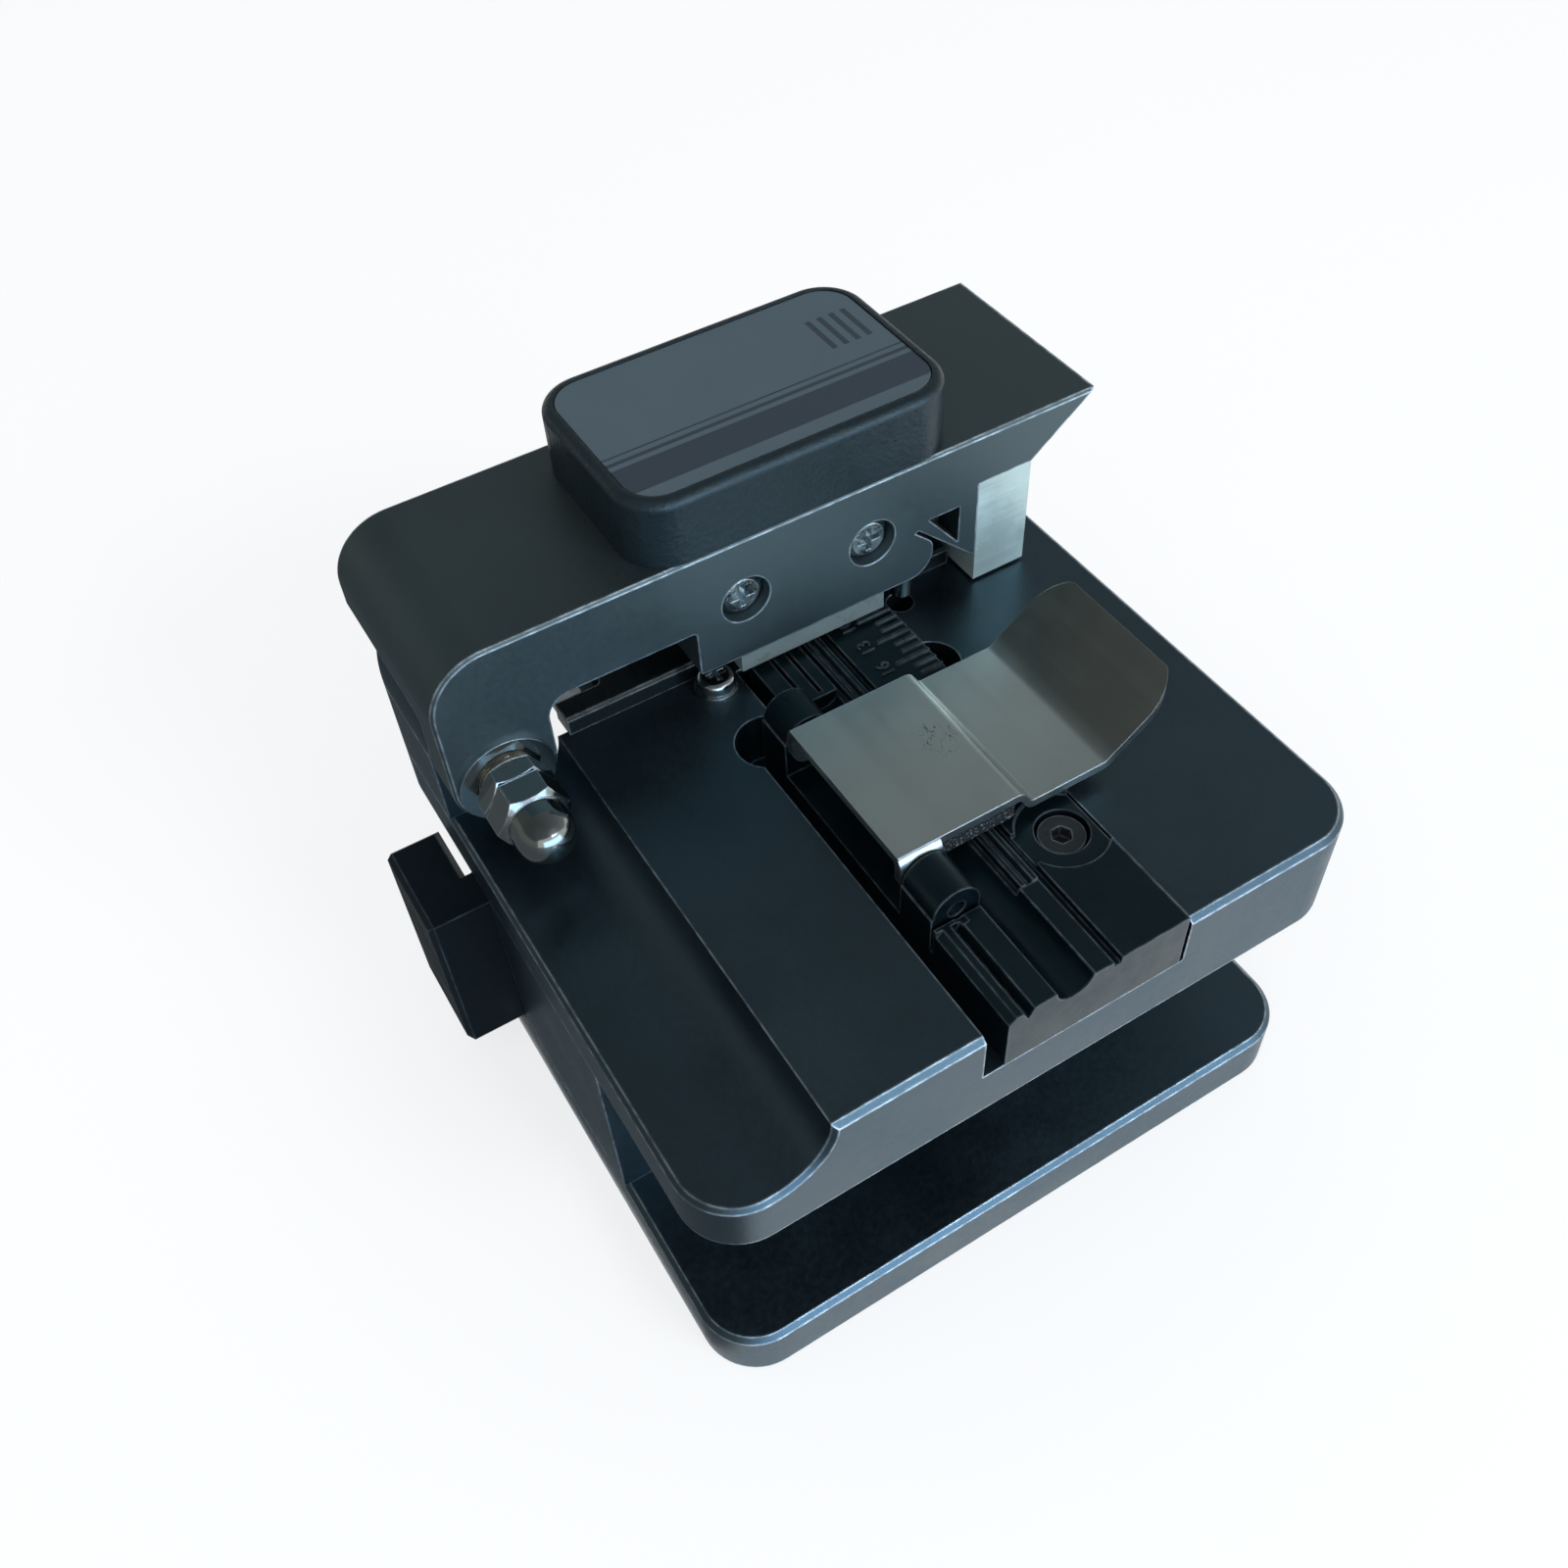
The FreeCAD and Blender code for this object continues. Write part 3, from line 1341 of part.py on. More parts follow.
def make_blade_spacer():
    half = blade_thickness / 2
    ring = rod_y(3.2, blade_rest_x, cleave_y + half + running_gap, upright_front, blade_z)
    return ring.cut(rod_y(blade_bore / 2, blade_rest_x, cleave_y, upright_front + 1, blade_z))


# ================================================================ output
nodes = {
    "base_plate": make_base_plate,
    "rubber_feet": make_feet,
    "base_screws": make_base_screws,
    "pedestal": make_pedestal,
    "rear_pillar": make_rear_pillar,
    "deck_screws": make_deck_screws,
    "deck": make_deck,
    "guard_left": make_guard_left,
    "guard_right": make_guard_right,
    "lower_pads": make_lower_pads,
    "hinge_block": make_hinge_block,
    "hinge_block_screws": make_hinge_screws,
    "hinge_shaft": make_hinge_shaft,
    "shaft_set_screw": make_set_screw,
    "bearing_inner_rings": make_bearing_inners,
    "bearing_outer_rings": make_bearing_outers,
    "rear_spacer": make_rear_spacer,
    "thrust_washer": make_thrust_washer,
    "jam_nut": make_jam_nut,
    "acorn_nut": make_acorn_nut,
    "fibre_holder": make_fibre_holder,
    "holder_screw": make_holder_screw,
    "holder_magnet": make_holder_magnet,
    "clamp_pin": make_clamp_pin,
    "clamp_lever": make_clamp_lever,
    "clamp_pad": make_clamp_pad,
    "stop_washer": make_stop_washer,
    "stop_screw": make_stop_screw,
    "closing_plate": make_leg_plate,
    "lever_arm": make_lever_arm,
    "arm_cap": make_cap,
    "arm_cap_screws": make_cap_screws,
    "label_plate": make_label_plate,
    "closing_leg": make_closing_leg,
    "closing_magnet": make_leg_magnet,
    "closing_leg_screw": make_leg_screw,
    "upper_clamp": make_upper_clamp,
    "upper_pads": make_upper_pads,
    "upper_clamp_screws": make_clamp_screws,
    "anvil": make_anvil,
    "anvil_adjuster": make_anvil_adjuster,
    "guide_pin": make_guide_pin,
    "slide_rail": make_rail,
    "rail_screws": make_rail_screws,
    "slide_carriage": make_carriage,
    "carriage_end_plates": make_carriage_caps,
    "blade_bracket": make_blade_bracket,
    "bracket_screws": make_bracket_screws,
    "pull_bar": make_pull_bar,
    "pull_bar_screws": make_bar_screws,
    "slider_knob": make_slider_knob,
    "blade": make_blade,
    "blade_screw": make_blade_screw,
    "blade_spacer": make_blade_spacer,
}

os.makedirs("parts", exist_ok=True)
for name, make in nodes.items():
    shape = make()
    shape.exportStep("parts/" + name + ".step")
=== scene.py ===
"""Looks of the fibre cleaver: materials, foam pad, scale numbers, floor, light and camera."""

import math

import bmesh
import bpy
from mathutils import Matrix, Vector


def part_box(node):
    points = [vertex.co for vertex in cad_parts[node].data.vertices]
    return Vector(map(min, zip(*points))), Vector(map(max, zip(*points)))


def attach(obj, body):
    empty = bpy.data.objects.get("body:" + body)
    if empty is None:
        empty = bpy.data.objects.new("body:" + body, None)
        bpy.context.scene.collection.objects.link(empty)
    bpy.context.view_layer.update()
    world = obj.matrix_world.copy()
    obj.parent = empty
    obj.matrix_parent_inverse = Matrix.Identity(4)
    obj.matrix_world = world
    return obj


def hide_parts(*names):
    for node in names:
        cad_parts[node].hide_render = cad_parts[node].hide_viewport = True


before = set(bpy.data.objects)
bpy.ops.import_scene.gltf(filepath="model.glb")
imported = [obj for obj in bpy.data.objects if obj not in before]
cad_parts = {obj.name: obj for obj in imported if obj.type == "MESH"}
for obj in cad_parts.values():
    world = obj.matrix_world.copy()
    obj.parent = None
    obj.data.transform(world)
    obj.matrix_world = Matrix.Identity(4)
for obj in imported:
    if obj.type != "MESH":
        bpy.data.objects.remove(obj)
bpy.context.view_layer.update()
MM = 0.001

# Rounding, edge wear with a painted edge highlight, and specks that all surfaces share
edge_radius = 0.12 * MM
wear_and_glint_radius = 0.25 * MM
wear_and_glint_scale = 900
speck_share = 0.35
coat_roughness = 0.25

# Foam pad under the clamp sheet
foam_rim = 0.35 * MM
foam_hollow = 0.03
foam_cuts = 14

# Digits of the holder's scale
digit_size = 1.75 * MM
digit_extrude = 0.09 * MM
digit_bevel = 0.015 * MM
digit_lift = 0.06 * MM
digit_inset = 4.35 * MM
first_ridge_inset = 0.7 * MM
ridge_pitch = 1.0 * MM
ridges_per_number = 3

# Studio
floor_size = 40.0
floor_glow_near = 0.72
floor_glow_far = 1.0
floor_glow_reach = (0.22, 0.9)
soft_light = 0.72


# ---------------------------------------------------------------- node helpers
def add(tree, kind, **settings):
    """New node of a kind, with its settings."""
    node = tree.nodes.new(kind)
    for key, value in settings.items():
        setattr(node, key, value)
    return node


def plug(tree, value, socket):
    """Link an output to a socket, or set the socket to a plain number or colour."""
    if isinstance(value, bpy.types.NodeSocket):
        tree.links.new(value, socket)
    elif isinstance(value, tuple):
        socket.default_value = (*value, 1.0)
    else:
        socket.default_value = value


def calc(tree, operation, a, b=None):
    """Result of one operation on outputs or plain numbers."""
    node = add(tree, "ShaderNodeMath", operation=operation)
    plug(tree, a, node.inputs[0])
    if b is not None:
        plug(tree, b, node.inputs[1])
    return node.outputs[0]


def product(tree, result, *factors):
    """All values multiplied."""
    for factor in factors:
        result = calc(tree, "MULTIPLY", result, factor)
    return result


def between(tree, value, low, high):
    """1 where a value lies between two limits, 0 elsewhere."""
    above = calc(tree, "GREATER_THAN", value, low)
    below = calc(tree, "LESS_THAN", value, high)
    return product(tree, above, below)


def remap(tree, value, limits, results):
    """Smooth step from the first result to the second, as a value goes from limit to limit."""
    node = add(tree, "ShaderNodeMapRange", interpolation_type="SMOOTHSTEP")
    plug(tree, value, node.inputs["Value"])
    names = ("From Min", "From Max", "To Min", "To Max")
    for name, number in zip(names, (*limits, *results)):
        node.inputs[name].default_value = number
    return node.outputs["Result"]


def mix_colour(tree, factor, a, b):
    """Colour a where the factor is 0, b where it is 1."""
    node = add(tree, "ShaderNodeMix", data_type="RGBA")
    socket_a, socket_b = [socket for socket in node.inputs if socket.type == "RGBA"]
    plug(tree, factor, node.inputs["Factor"])
    plug(tree, a, socket_a)
    plug(tree, b, socket_b)
    return [socket for socket in node.outputs if socket.type == "RGBA"][0]


def mix_shaders(tree, factor, a, b, output):
    """Mix of two shaders, led to an output node."""
    node = add(tree, "ShaderNodeMixShader")
    for value, socket in zip((factor, a, b), node.inputs):
        plug(tree, value, socket)
    plug(tree, node.outputs[0], tree.nodes[output].inputs["Surface"])


def noise(tree, coords, scale, detail, stretch=None, distortion=0.0):
    """Noise from 0 to 1. A stretch below 1 draws it out along that axis."""
    if stretch:
        mapping = add(tree, "ShaderNodeMapping")
        plug(tree, coords, mapping.inputs["Vector"])
        mapping.inputs["Scale"].default_value = stretch
        coords = mapping.outputs["Vector"]
    node = add(tree, "ShaderNodeTexNoise")
    plug(tree, coords, node.inputs["Vector"])
    plug(tree, scale, node.inputs["Scale"])
    plug(tree, detail, node.inputs["Detail"])
    plug(tree, distortion, node.inputs["Distortion"])
    return node.outputs["Fac"]


def object_coords(tree):
    """Place of a point in its own object, in metres."""
    return add(tree, "ShaderNodeTexCoord").outputs["Object"]


def axes_mm(tree, coords):
    """X, Y and Z of a point, in millimetres."""
    split = add(tree, "ShaderNodeSeparateXYZ")
    plug(tree, coords, split.inputs[0])
    return [calc(tree, "MULTIPLY", split.outputs[axis], 1000.0) for axis in "XYZ"]


# ---------------------------------------------------------------- surfaces
def edge_mask(tree):
    """1 on edges, 0 on flat faces, from a rounded normal set against the true one."""
    rounded = add(tree, "ShaderNodeBevel", samples=6)
    plug(tree, wear_and_glint_radius, rounded.inputs["Radius"])
    true = add(tree, "ShaderNodeNewGeometry")
    match = add(tree, "ShaderNodeVectorMath", operation="DOT_PRODUCT")
    plug(tree, rounded.outputs["Normal"], match.inputs[0])
    plug(tree, true.outputs["Normal"], match.inputs[1])
    return remap(tree, match.outputs["Value"], (0.96, 0.999), (1.0, 0.0))


def mottled(tree, colour, tint, slow, speck):
    """Slow patches from darker to lighter, with light specks over them."""
    dark = tuple(channel * (1 - tint) for channel in colour)
    light = tuple(channel * (1 + tint) for channel in colour)
    patches = mix_colour(tree, slow, dark, light)
    return mix_colour(tree, remap(tree, speck, (0.35, 0.7), (0.0, 0.25)), patches, light)


def worn(tree, coords, base, wear_and_glint, wear_and_glint_colour):
    """Edges lightened in broken stretches: partly rubbed edge wear, partly a painted highlight on
    edges and chamfers.
    """
    broken = remap(tree, noise(tree, coords, wear_and_glint_scale, 4.0), (0.35, 0.65), (0.35, 1.0))
    return mix_colour(tree, product(tree, edge_mask(tree), broken, wear_and_glint), base, wear_and_glint_colour)


def uneven_roughness(tree, rough, spread, slow, speck):
    """Roughness that varies in the same patches and specks as the colour."""
    patches = remap(tree, slow, (0.3, 0.7), (rough - spread, rough + spread))
    specks = remap(tree, speck, (0.3, 0.7), (-spread / 2, spread / 2))
    return calc(tree, "ADD", patches, specks)


def grained_normal(tree, fine, bump, depth):
    """Fine grain over slightly rounded edges."""
    rounded = add(tree, "ShaderNodeBevel", samples=4)
    plug(tree, edge_radius, rounded.inputs["Radius"])
    relief = add(tree, "ShaderNodeBump")
    plug(tree, bump, relief.inputs["Strength"])
    plug(tree, depth * MM, relief.inputs["Distance"])
    plug(tree, fine, relief.inputs["Height"])
    plug(tree, rounded.outputs["Normal"], relief.inputs["Normal"])
    return relief.outputs["Normal"]


def material(name, colour, *, rough, spread, grain, bump, depth, patch, tint, metal=0.0,
             stretch=None, wear_and_glint=0.0, wear_and_glint_colour=None, specular=0.5, gloss=(1.0, 1.0, 1.0),
             coat=0.0, pattern=None):
    """Procedural surface.

    colour and rough vary in patches by tint and spread, and patch is the patches' scale.
    grain is the scale of the fine relief, bump its strength, depth its height in millimetres.
    stretch draws the grain out. The edge amount lightens the edges towards the edge colour, as
    edge wear and a painted highlight on edges and chamfers. gloss tints reflections.
    pattern is a function that draws over the finished colour.
    """
    mat = bpy.data.materials.new(name)
    mat.use_nodes = True
    tree = mat.node_tree
    coords = object_coords(tree)
    slow = noise(tree, coords, patch, 4.0)
    speck = noise(tree, coords, grain * speck_share, 3.0, stretch)
    fine = noise(tree, coords, grain, 2.0, stretch)
    base = mottled(tree, colour, tint, slow, speck)
    if wear_and_glint:
        base = worn(tree, coords, base, wear_and_glint, wear_and_glint_colour)
    if pattern:
        base = pattern(tree, coords, base)
    values = {
        "Base Color": base,
        "Metallic": metal,
        "Roughness": uneven_roughness(tree, rough, spread, slow, speck),
        "Normal": grained_normal(tree, fine, bump, depth),
        "Specular IOR Level": specular,
        "Specular Tint": gloss,
        "Coat Weight": coat,
        "Coat Roughness": coat_roughness,
    }
    shader = tree.nodes["Principled BSDF"]
    for socket, value in values.items():
        plug(tree, value, shader.inputs[socket])
    return mat


# ---------------------------------------------------------------- patterns
def scratches(tree, coords, x, y, centre_x, centre_y):
    """Fine wandering lines that fade out about 2 mm from their centre."""
    away_x = calc(tree, "SUBTRACT", x, centre_x)
    away_y = calc(tree, "SUBTRACT", y, centre_y)
    squares = (product(tree, away_x, away_x), product(tree, away_y, away_y))
    near = remap(tree, calc(tree, "ADD", *squares), (1.0, 6.0), (1.0, 0.0))
    wander = noise(tree, coords, 700, 1.0, stretch=(1.0, 0.35, 1.0), distortion=2.5)
    rise = remap(tree, wander, (0.485, 0.5), (0.0, 1.0))
    fall = remap(tree, wander, (0.5, 0.515), (1.0, 0.0))
    return product(tree, rise, fall, near)


def clamp_tone(tree, coords, base):
    """Thumb tab with a painted dark brownish reflection, a sheet with painted shade darker to the
    front, and scratches by the joggle.
    """
    x, y, _ = axes_mm(tree, coords)
    low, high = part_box("clamp_lever")
    left, front = low.x / MM, low.y / MM
    right, rear = high.x / MM, high.y / MM
    tab_start = right - 7.0
    # Painted dark reflection: the thumb tab turned dark brownish.
    tab_painted_reflection = remap(tree, x, (tab_start - 0.6, tab_start + 0.9), (0.0, 0.78))
    base = mix_colour(tree, tab_painted_reflection, base, (0.21, 0.20, 0.165))
    # Painted shade: the sheet darker towards its front.
    front_painted_shade = remap(tree, y, (front - 0.9, rear + 0.1), (0.30, 0.0))
    base = mix_colour(tree, front_painted_shade, base, (0.30, 0.33, 0.33))
    marks = scratches(tree, coords, x, y, left + 9.3, front + 8.5)
    return mix_colour(tree, marks, base, (0.12, 0.12, 0.11))


def foam_speckle(tree, coords, base):
    """Pale open cells in the dark foam."""
    cells = remap(tree, noise(tree, coords, 5200, 2.0), (0.56, 0.66), (0.0, 0.8))
    return mix_colour(tree, cells, base, (0.16, 0.17, 0.17))


def label_bands(tree, coords, base):
    """Straight bands along the plate's front, and a block of short bars at its right."""
    x, y, _ = axes_mm(tree, coords)
    low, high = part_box("label_plate")
    front = low.y / MM
    right, rear = high.x / MM, high.y / MM
    ink = (0.030, 0.045, 0.060)
    bars_per_mm = 0.9
    bar_start = 0.55
    for start, end in ((1.4, 4.6), (5.1, 5.5), (6.0, 6.2)):
        base = mix_colour(tree, between(tree, y, front + start, front + end), base, ink)
    bars = calc(tree, "FRACT", calc(tree, "MULTIPLY", x, bars_per_mm))
    bars = calc(tree, "GREATER_THAN", bars, bar_start)
    block_x = between(tree, x, right - 5.25, right - 1.15)
    block_y = between(tree, y, rear - 8.0, rear - 3.6)
    return mix_colour(tree, product(tree, block_x, block_y, bars), base, ink)


# ---------------------------------------------------------------- metals
# Light edge colours in the metals below paint edge wear together with a painted highlight on edges
# and chamfers.
black_metal = material(
    "black_metal", (0.076, 0.116, 0.142), metal=1.0, rough=0.40, spread=0.05, grain=5200,
    bump=0.35, depth=0.03, patch=90, tint=0.10, wear_and_glint=1.0, wear_and_glint_colour=(0.66, 0.76, 0.84))
arm_metal = material(
    "arm_metal", (0.106, 0.142, 0.150), metal=1.0, rough=0.52, spread=0.04, grain=6000,
    bump=0.22, depth=0.02, patch=80, tint=0.08, wear_and_glint=1.0, wear_and_glint_colour=(0.66, 0.76, 0.82))
pale_metal = material(
    "pale_metal", (0.50, 0.61, 0.58), metal=0.55, rough=0.38, spread=0.10, grain=1100,
    bump=0.9, depth=0.06, patch=260, tint=0.20, stretch=(0.05, 0.05, 1.0))
milled_metal = material(
    "milled_metal", (0.45, 0.47, 0.48), metal=1.0, rough=0.35, spread=0.08, grain=900,
    bump=0.3, depth=0.03, patch=200, tint=0.10, stretch=(0.05, 1.0, 1.0))
# The clamp sheet's white edges are a painted highlight, and its pattern paints shade on the tab
# and towards the front.
clamp_steel = material(
    "clamp_steel", (0.71, 0.80, 0.765), metal=1.0, rough=0.34, spread=0.05, grain=2500,
    bump=0.25, depth=0.012, patch=150, tint=0.08, stretch=(1.0, 0.04, 1.0),
    wear_and_glint=1.0, wear_and_glint_colour=(1.0, 1.0, 1.0), pattern=clamp_tone)
pull_steel = material(
    "pull_steel", (0.45, 0.48, 0.48), metal=1.0, rough=0.34, spread=0.05, grain=2500,
    bump=0.25, depth=0.012, patch=150, tint=0.12, stretch=(0.04, 1.0, 1.0),
    wear_and_glint=0.5, wear_and_glint_colour=(0.85, 0.88, 0.9))
bright_steel = material(
    "bright_steel", (0.48, 0.52, 0.53), metal=1.0, rough=0.16, spread=0.05, grain=3000,
    bump=0.06, depth=0.01, patch=200, tint=0.06)
chrome = material(
    "chrome", (0.27, 0.295, 0.29), metal=1.0, rough=0.10, spread=0.04, grain=3000,
    bump=0.05, depth=0.01, patch=200, tint=0.05, wear_and_glint=0.8, wear_and_glint_colour=(0.85, 0.9, 0.92))
scuffed_steel = material(
    "scuffed_steel", (0.42, 0.50, 0.52), metal=1.0, rough=0.30, spread=0.08, grain=2600,
    bump=0.8, depth=0.04, patch=700, tint=0.45, wear_and_glint=0.8, wear_and_glint_colour=(0.7, 0.78, 0.8))
black_steel = material(
    "black_steel", (0.030, 0.036, 0.040), metal=0.6, rough=0.34, spread=0.08, grain=3500,
    bump=0.2, depth=0.02, patch=400, tint=0.2, wear_and_glint=0.6, wear_and_glint_colour=(0.3, 0.34, 0.36))
brass = material(
    "brass", (0.46, 0.41, 0.30), metal=1.0, rough=0.28, spread=0.06, grain=3000,
    bump=0.10, depth=0.01, patch=300, tint=0.10)
magnet = material(
    "magnet", (0.50, 0.53, 0.55), metal=1.0, rough=0.25, spread=0.06, grain=3000,
    bump=0.1, depth=0.01, patch=300, tint=0.08)
carbide = material(
    "carbide", (0.33, 0.34, 0.36), metal=1.0, rough=0.22, spread=0.05, grain=3500,
    bump=0.1, depth=0.01, patch=300, tint=0.08)

# ---------------------------------------------------------------- plastics, rubber and paint
# Light edge colours in the plastics below are a painted highlight on edges and ridges.
black_plastic = material(
    "black_plastic", (0.0010, 0.0034, 0.0046), rough=0.34, spread=0.06, grain=2600,
    bump=0.25, depth=0.02, patch=200, tint=0.25, wear_and_glint=0.55, wear_and_glint_colour=(0.11, 0.13, 0.14),
    specular=0.54, gloss=(0.50, 0.85, 1.0))
guard_plastic = material(
    "guard_plastic", (0.0020, 0.0040, 0.0050), rough=0.27, spread=0.05, grain=2600,
    bump=0.2, depth=0.02, patch=200, tint=0.25, wear_and_glint=0.8, wear_and_glint_colour=(0.16, 0.19, 0.20))
knob_plastic = material(
    "knob_plastic", (0.0022, 0.0052, 0.0082), rough=0.44, spread=0.06, grain=2600,
    bump=0.3, depth=0.02, patch=200, tint=0.25, wear_and_glint=0.5, wear_and_glint_colour=(0.08, 0.10, 0.11),
    specular=0.22, gloss=(0.65, 0.88, 1.0))
cap_plastic = material(
    "cap_plastic", (0.0045, 0.0100, 0.0130), rough=0.44, spread=0.05, grain=2400,
    bump=1.0, depth=0.05, patch=200, tint=0.25, specular=0.6, gloss=(0.72, 0.92, 1.0))
pale_polymer = material(
    "pale_polymer", (0.148, 0.182, 0.182), rough=0.32, spread=0.08, grain=900,
    bump=0.25, depth=0.03, patch=500, tint=0.25, coat=0.4)
rubber = material(
    "rubber", (0.010, 0.012, 0.013), rough=0.75, spread=0.08, grain=2500,
    bump=0.5, depth=0.04, patch=300, tint=0.2, specular=0.3)
foam = material(
    "foam", (0.010, 0.012, 0.013), rough=0.9, spread=0.05, grain=2200,
    bump=1.0, depth=0.15, patch=900, tint=0.4, specular=0.2, pattern=foam_speckle)
label_paint = material(
    "label_paint", (0.070, 0.103, 0.125), metal=0.2, rough=0.42, spread=0.05, grain=3500,
    bump=0.1, depth=0.01, patch=150, tint=0.08, pattern=label_bands)
floor_paint = material(
    "floor_paint", (0.93, 0.935, 0.94), rough=0.85, spread=0.04, grain=300,
    bump=0.02, depth=0.05, patch=8, tint=0.01, specular=0.0)

# Every node that isn't named here is a fastener or fitting of black steel.
finishes = (
    (black_metal, ("base_plate", "pedestal", "rear_pillar", "deck", "hinge_block")),
    (arm_metal, ("lever_arm",)),
    (pale_metal, ("closing_leg",)),
    (milled_metal, ("blade_bracket",)),
    (clamp_steel, ("clamp_lever",)),
    (pull_steel, ("pull_bar",)),
    (bright_steel, ("hinge_shaft", "bearing_inner_rings", "bearing_outer_rings", "clamp_pin",
                    "stop_washer", "stop_screw", "closing_plate", "anvil", "guide_pin",
                    "slide_rail", "slide_carriage", "blade_spacer")),
    (chrome, ("jam_nut", "acorn_nut")),
    (scuffed_steel, ("upper_clamp_screws",)),
    (brass, ("rear_spacer", "thrust_washer")),
    (magnet, ("holder_magnet", "closing_magnet")),
    (carbide, ("blade",)),
    (black_plastic, ("fibre_holder", "carriage_end_plates")),
    (guard_plastic, ("guard_left", "guard_right")),
    (knob_plastic, ("slider_knob",)),
    (cap_plastic, ("arm_cap",)),
    (pale_polymer, ("upper_clamp",)),
    (rubber, ("rubber_feet", "lower_pads", "upper_pads")),
    (foam, ("clamp_pad",)),
    (label_paint, ("label_plate",)),
)


def dress_nodes():
    """Give each solid its finish."""
    paints = {name: paint for paint, names in finishes for name in names}
    for name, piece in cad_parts.items():
        piece.data.materials.clear()
        piece.data.materials.append(paints.get(name, black_steel))


# ---------------------------------------------------------------- foam pad and scale numbers
def new_piece(name, mesh, paint, body):
    """Piece that rides on a body and takes its finish from a slot."""
    piece = bpy.data.objects.new(name, mesh)
    bpy.context.scene.collection.objects.link(piece)
    piece.data.materials.append(paint)
    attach(piece, body)
    return piece


def foam_point(unit, half):
    """Place on the pad of a point on a cube that reaches from -1 to 1."""
    hollow = 1.0 - foam_hollow * (1.0 - unit.z ** 2)
    point = Vector((unit.x * half.x * hollow, unit.y * half.y * hollow, unit.z * half.z))
    core = Vector([max(foam_rim - h, min(h - foam_rim, c)) for c, h in zip(point, half)])
    out = point - core
    if out.length > foam_rim:
        return core + out.normalized() * foam_rim
    return point


def foam_pad():
    """Soft block with rounded rims and hollow sides, in the place of the plain pad."""
    low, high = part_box("clamp_pad")
    form = bmesh.new()
    bmesh.ops.create_cube(form, size=2.0)
    bmesh.ops.subdivide_edges(form, edges=form.edges, cuts=foam_cuts, use_grid_fill=True)
    for vert in form.verts:
        vert.co = foam_point(vert.co, (high - low) / 2)
    mesh = bpy.data.meshes.new("foam_block")
    form.to_mesh(mesh)
    form.free()
    mesh.transform(Matrix.Translation((low + high) / 2))
    for face in mesh.polygons:
        face.use_smooth = True
    piece = new_piece("foam_block", mesh, foam, "clamp")
    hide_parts("clamp_pad")


def digits(number):
    """Raised mesh of a number, about its own middle."""
    text = bpy.data.curves.new("scale_number", "FONT")
    text.body = str(number)
    text.size = digit_size
    text.extrude = digit_extrude
    text.bevel_depth = digit_bevel
    text.align_x = "CENTER"
    text.align_y = "CENTER"
    maker = bpy.data.objects.new("scale_maker", text)
    mesh = bpy.data.meshes.new_from_object(maker)
    bpy.data.objects.remove(maker)
    return mesh


def scale_numbers():
    """Raised digits beside the long ridges of the holder's scale, read along the fibre."""
    _, holder_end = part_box("fibre_holder")
    _, magnet_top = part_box("holder_magnet")
    quarter_turn = Matrix.Rotation(math.pi / 2, 4, "Z")
    spot = Vector((holder_end.x - digit_inset, holder_end.y - first_ridge_inset,
                   magnet_top.z + digit_lift))
    for number in (10, 13, 16):
        mesh = digits(number)
        mesh.transform(Matrix.Translation(spot) @ quarter_turn)
        new_piece("scale_number_%d" % number, mesh, black_plastic, "base")
        spot.y -= ridges_per_number * ridge_pitch


# ---------------------------------------------------------------- background and floor
def white_background():
    """Softer sky for plain light, and pure white wherever the background itself is seen."""
    world = bpy.data.worlds.new("studio")
    bpy.context.scene.world = world
    world.use_nodes = True
    tree = world.node_tree
    soft = tree.nodes["Background"]
    plug(tree, (0.94, 0.97, 1.0), soft.inputs["Color"])
    plug(tree, soft_light, soft.inputs["Strength"])
    white = add(tree, "ShaderNodeBackground")
    plug(tree, (1.0, 1.0, 1.0), white.inputs["Color"])
    plug(tree, 1.0, white.inputs["Strength"])
    path = add(tree, "ShaderNodeLightPath")
    seen = calc(tree, "MAXIMUM", path.outputs["Is Camera Ray"], path.outputs["Is Glossy Ray"])
    seen = calc(tree, "MAXIMUM", seen, path.outputs["Is Transmission Ray"])
    mix_shaders(tree, seen, soft.outputs[0], white.outputs[0], "World Output")


def plane(name, centre, width, depth):
    """Flat rectangle about a centre."""
    x, y = width / 2, depth / 2
    mesh = bpy.data.meshes.new(name)
    mesh.from_pydata([(-x, -y, 0), (x, -y, 0), (x, y, 0), (-x, y, 0)], [], [(0, 1, 2, 3)])
    flat = bpy.data.objects.new(name, mesh)
    flat.location = centre
    bpy.context.scene.collection.objects.link(flat)
    return flat


def whiten(mat):
    """Lift the floor to white where it is seen: partly near the part, whose shadow stays."""
    tree = mat.node_tree
    shader = tree.nodes["Principled BSDF"]
    glow = add(tree, "ShaderNodeEmission")
    path = add(tree, "ShaderNodeLightPath")
    seen = calc(tree, "MAXIMUM", path.outputs["Is Camera Ray"], path.outputs["Is Glossy Ray"])
    away = add(tree, "ShaderNodeVectorMath", operation="LENGTH")
    plug(tree, object_coords(tree), away.inputs[0])
    share = remap(tree, away.outputs["Value"], floor_glow_reach, (floor_glow_near, floor_glow_far))
    factor = calc(tree, "MULTIPLY", seen, share)
    mix_shaders(tree, factor, shader.outputs[0], glow.outputs[0], "Material Output")


def pale_floor():
    """Wide matt floor that runs out into the background."""
    floor = plane("floor", (0, 0, 0), floor_size, floor_size)
    whiten(floor_paint)
    floor.data.materials.append(floor_paint)
    floor.visible_shadow = False
    return floor


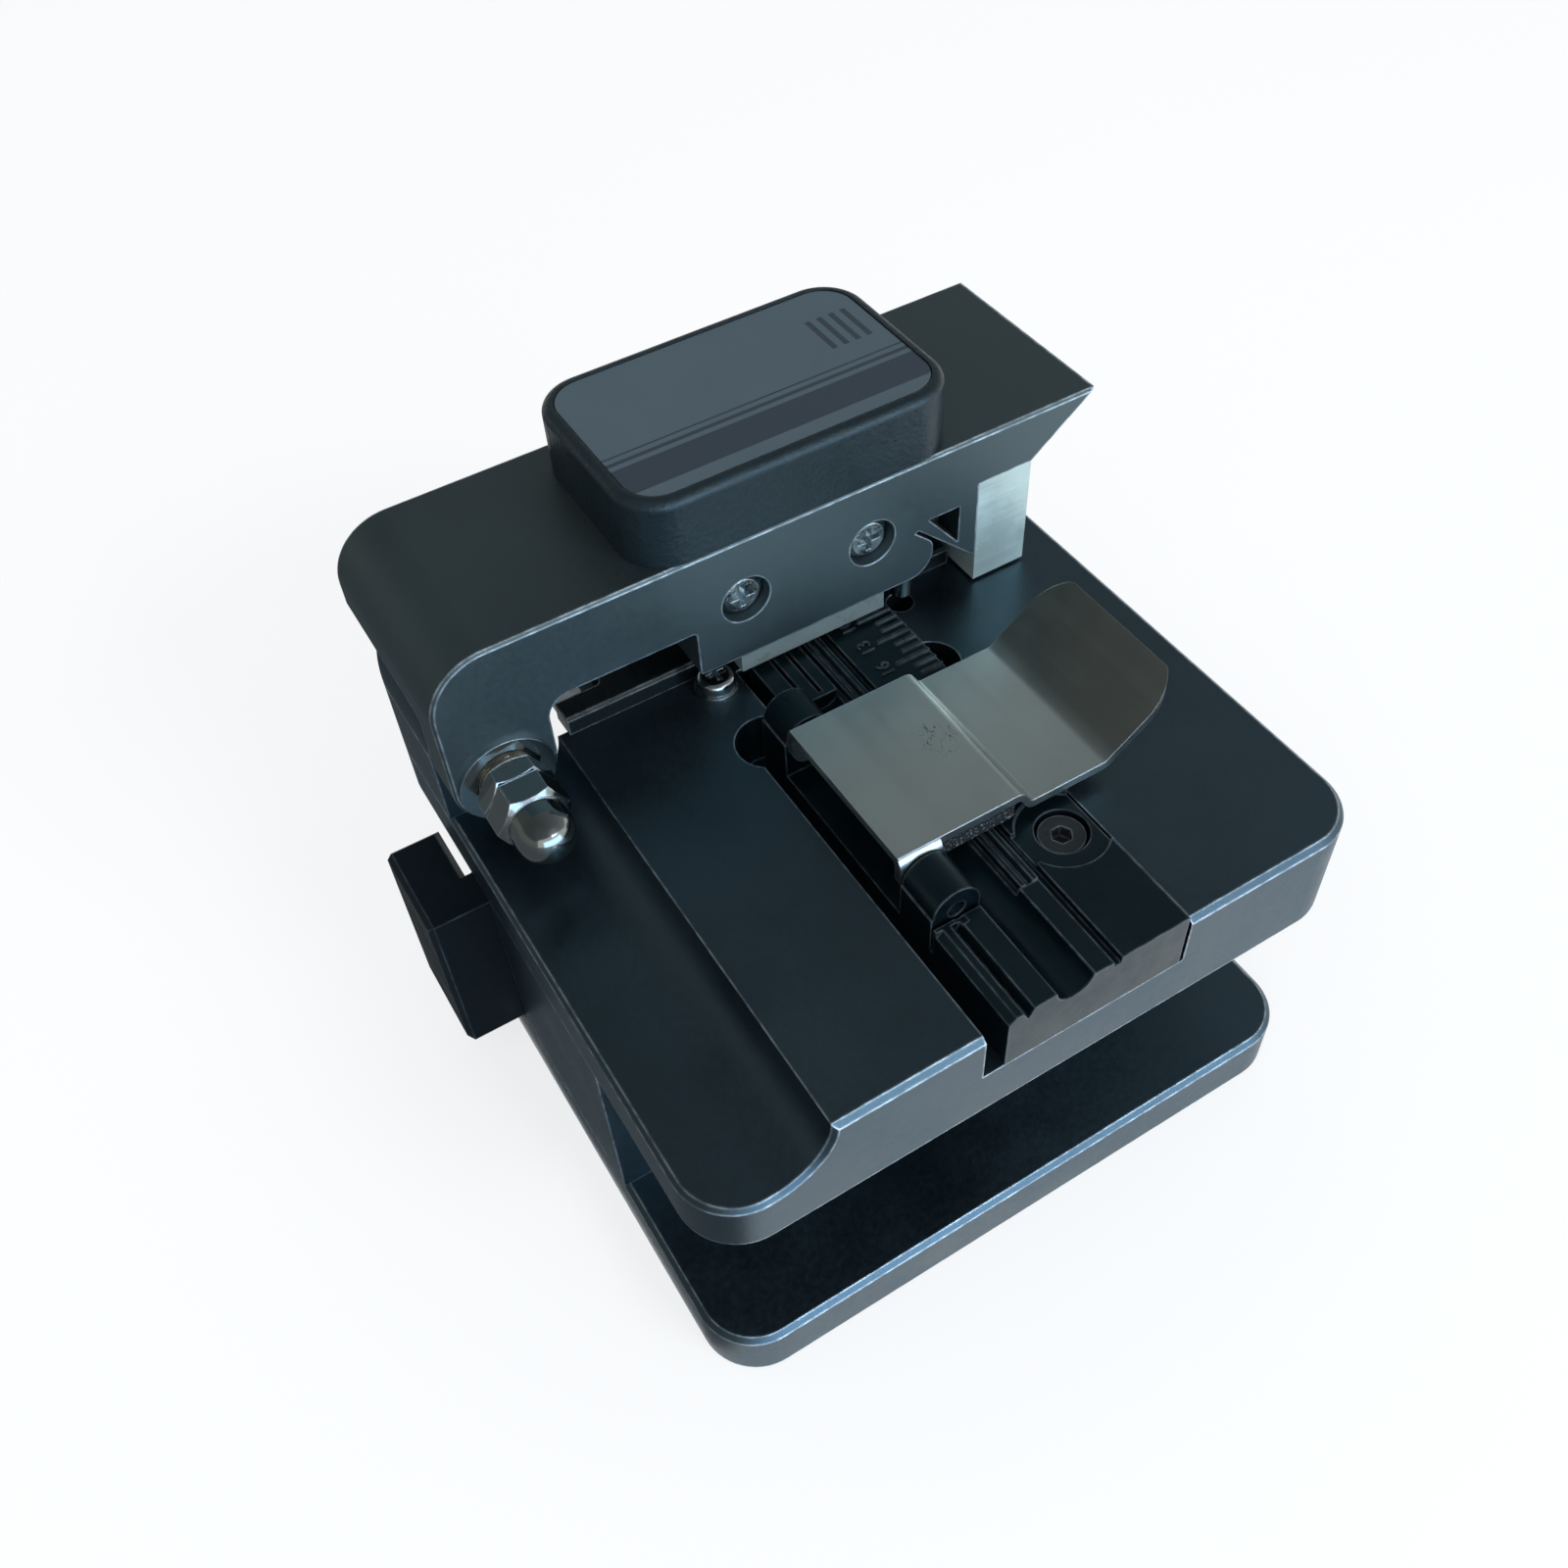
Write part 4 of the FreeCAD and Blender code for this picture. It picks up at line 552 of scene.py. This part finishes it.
# ---------------------------------------------------------------- cards and lamps
def rising_glow(tree, width, glow):
    """Glow that goes from its first to its second value along a card's own x."""
    split = add(tree, "ShaderNodeSeparateXYZ")
    plug(tree, object_coords(tree), split.inputs[0])
    return remap(tree, split.outputs["X"], (-0.105 * width, 0.235 * width), glow)


def reflection_card(name, centre, size, colour, glow, turn=0.0):
    """Card that only reflections see, to give the dark metals their tone."""
    card = plane(name, centre, *size)
    card.rotation_euler = (0, turn, 0)
    mat = bpy.data.materials.new(name)
    mat.use_nodes = True
    tree = mat.node_tree
    shader = tree.nodes["Principled BSDF"]
    plug(tree, (0.0, 0.0, 0.0), shader.inputs["Base Color"])
    plug(tree, colour, shader.inputs["Emission Color"])
    plug(tree, rising_glow(tree, size[0], glow), shader.inputs["Emission Strength"])
    card.data.materials.append(mat)
    card.visible_camera = False
    card.visible_diffuse = False
    card.visible_shadow = False
    card.visible_transmission = False
    return card


def reflection_cards():
    """Large dim cards above, to the left, and on the floor to the left."""
    overhead = reflection_card("overhead_card", (0.10, 0.75, 0.45), (3.8, 2.9),
                               (0.88, 0.97, 1.0), glow=(0.105, 0.27))
    left_wall = reflection_card("left_card", (-1.1, 0.3, 0.42), (0.84, 2.6),
                                (0.90, 0.92, 0.82), glow=(0.25, 0.25), turn=math.pi / 2)
    left_floor = reflection_card("left_floor_card", (-0.58, 0.10, 0.0004), (1.1, 1.6),
                                 (0.80, 0.92, 1.0), glow=(0.16, 0.16))
    return overhead, left_wall, left_floor


def area_lamp(name, place, aim_height, size, watts, colour):
    """Rectangular lamp that points at the part's middle, at a height."""
    data = bpy.data.lights.new(name, "AREA")
    data.shape = "RECTANGLE"
    data.size, data.size_y = size
    data.energy = watts
    data.color = colour
    lamp = bpy.data.objects.new(name, data)
    lamp.location = place
    way = Vector((0, 0, aim_height)) - Vector(place)
    lamp.rotation_euler = way.to_track_quat("-Z", "Y").to_euler()
    bpy.context.scene.collection.objects.link(lamp)


def lamps():
    """Neutral light from above left, blue light on the front faces, and a glint on the edges."""
    area_lamp("key", (-0.35, -0.30, 0.60), aim_height=0.02, size=(0.45, 0.45), watts=1.0,
              colour=(0.95, 0.98, 1.0))
    area_lamp("front", (0.05, -0.70, 0.12), aim_height=0.02, size=(0.9, 0.28), watts=3.2,
              colour=(0.37, 0.64, 1.0))
    area_lamp("rim", (0.29, -0.72, 0.56), aim_height=0.03, size=(0.40, 0.25), watts=3.6,
              colour=(0.86, 0.95, 1.0))


# ---------------------------------------------------------------- camera
def set_camera():
    """Camera above the front left corner, close to the part."""
    data = bpy.data.cameras.new("camera")
    data.sensor_width = 36
    data.lens = 35.4375
    data.clip_start = 0.005
    data.clip_end = 20
    right = Vector((0.8533, -0.5197, -0.0434)).normalized()
    ahead = Vector((0.3074, 0.5684, -0.7632)).normalized()
    up = right.cross(ahead).normalized()
    right = ahead.cross(up).normalized()
    turn = Matrix((right, up, -ahead)).transposed().to_4x4()
    place = Vector((-44.12, -70.94, 128.21)) * MM
    camera = bpy.data.objects.new("camera", data)
    camera.matrix_world = Matrix.Translation(place) @ turn
    bpy.context.scene.collection.objects.link(camera)
    bpy.context.scene.camera = camera
    bpy.context.scene.view_settings.view_transform = "Standard"


dress_nodes()
foam_pad()
scale_numbers()
white_background()
floor = pale_floor()
overhead, left_wall, left_floor = reflection_cards()
lamps()
set_camera()
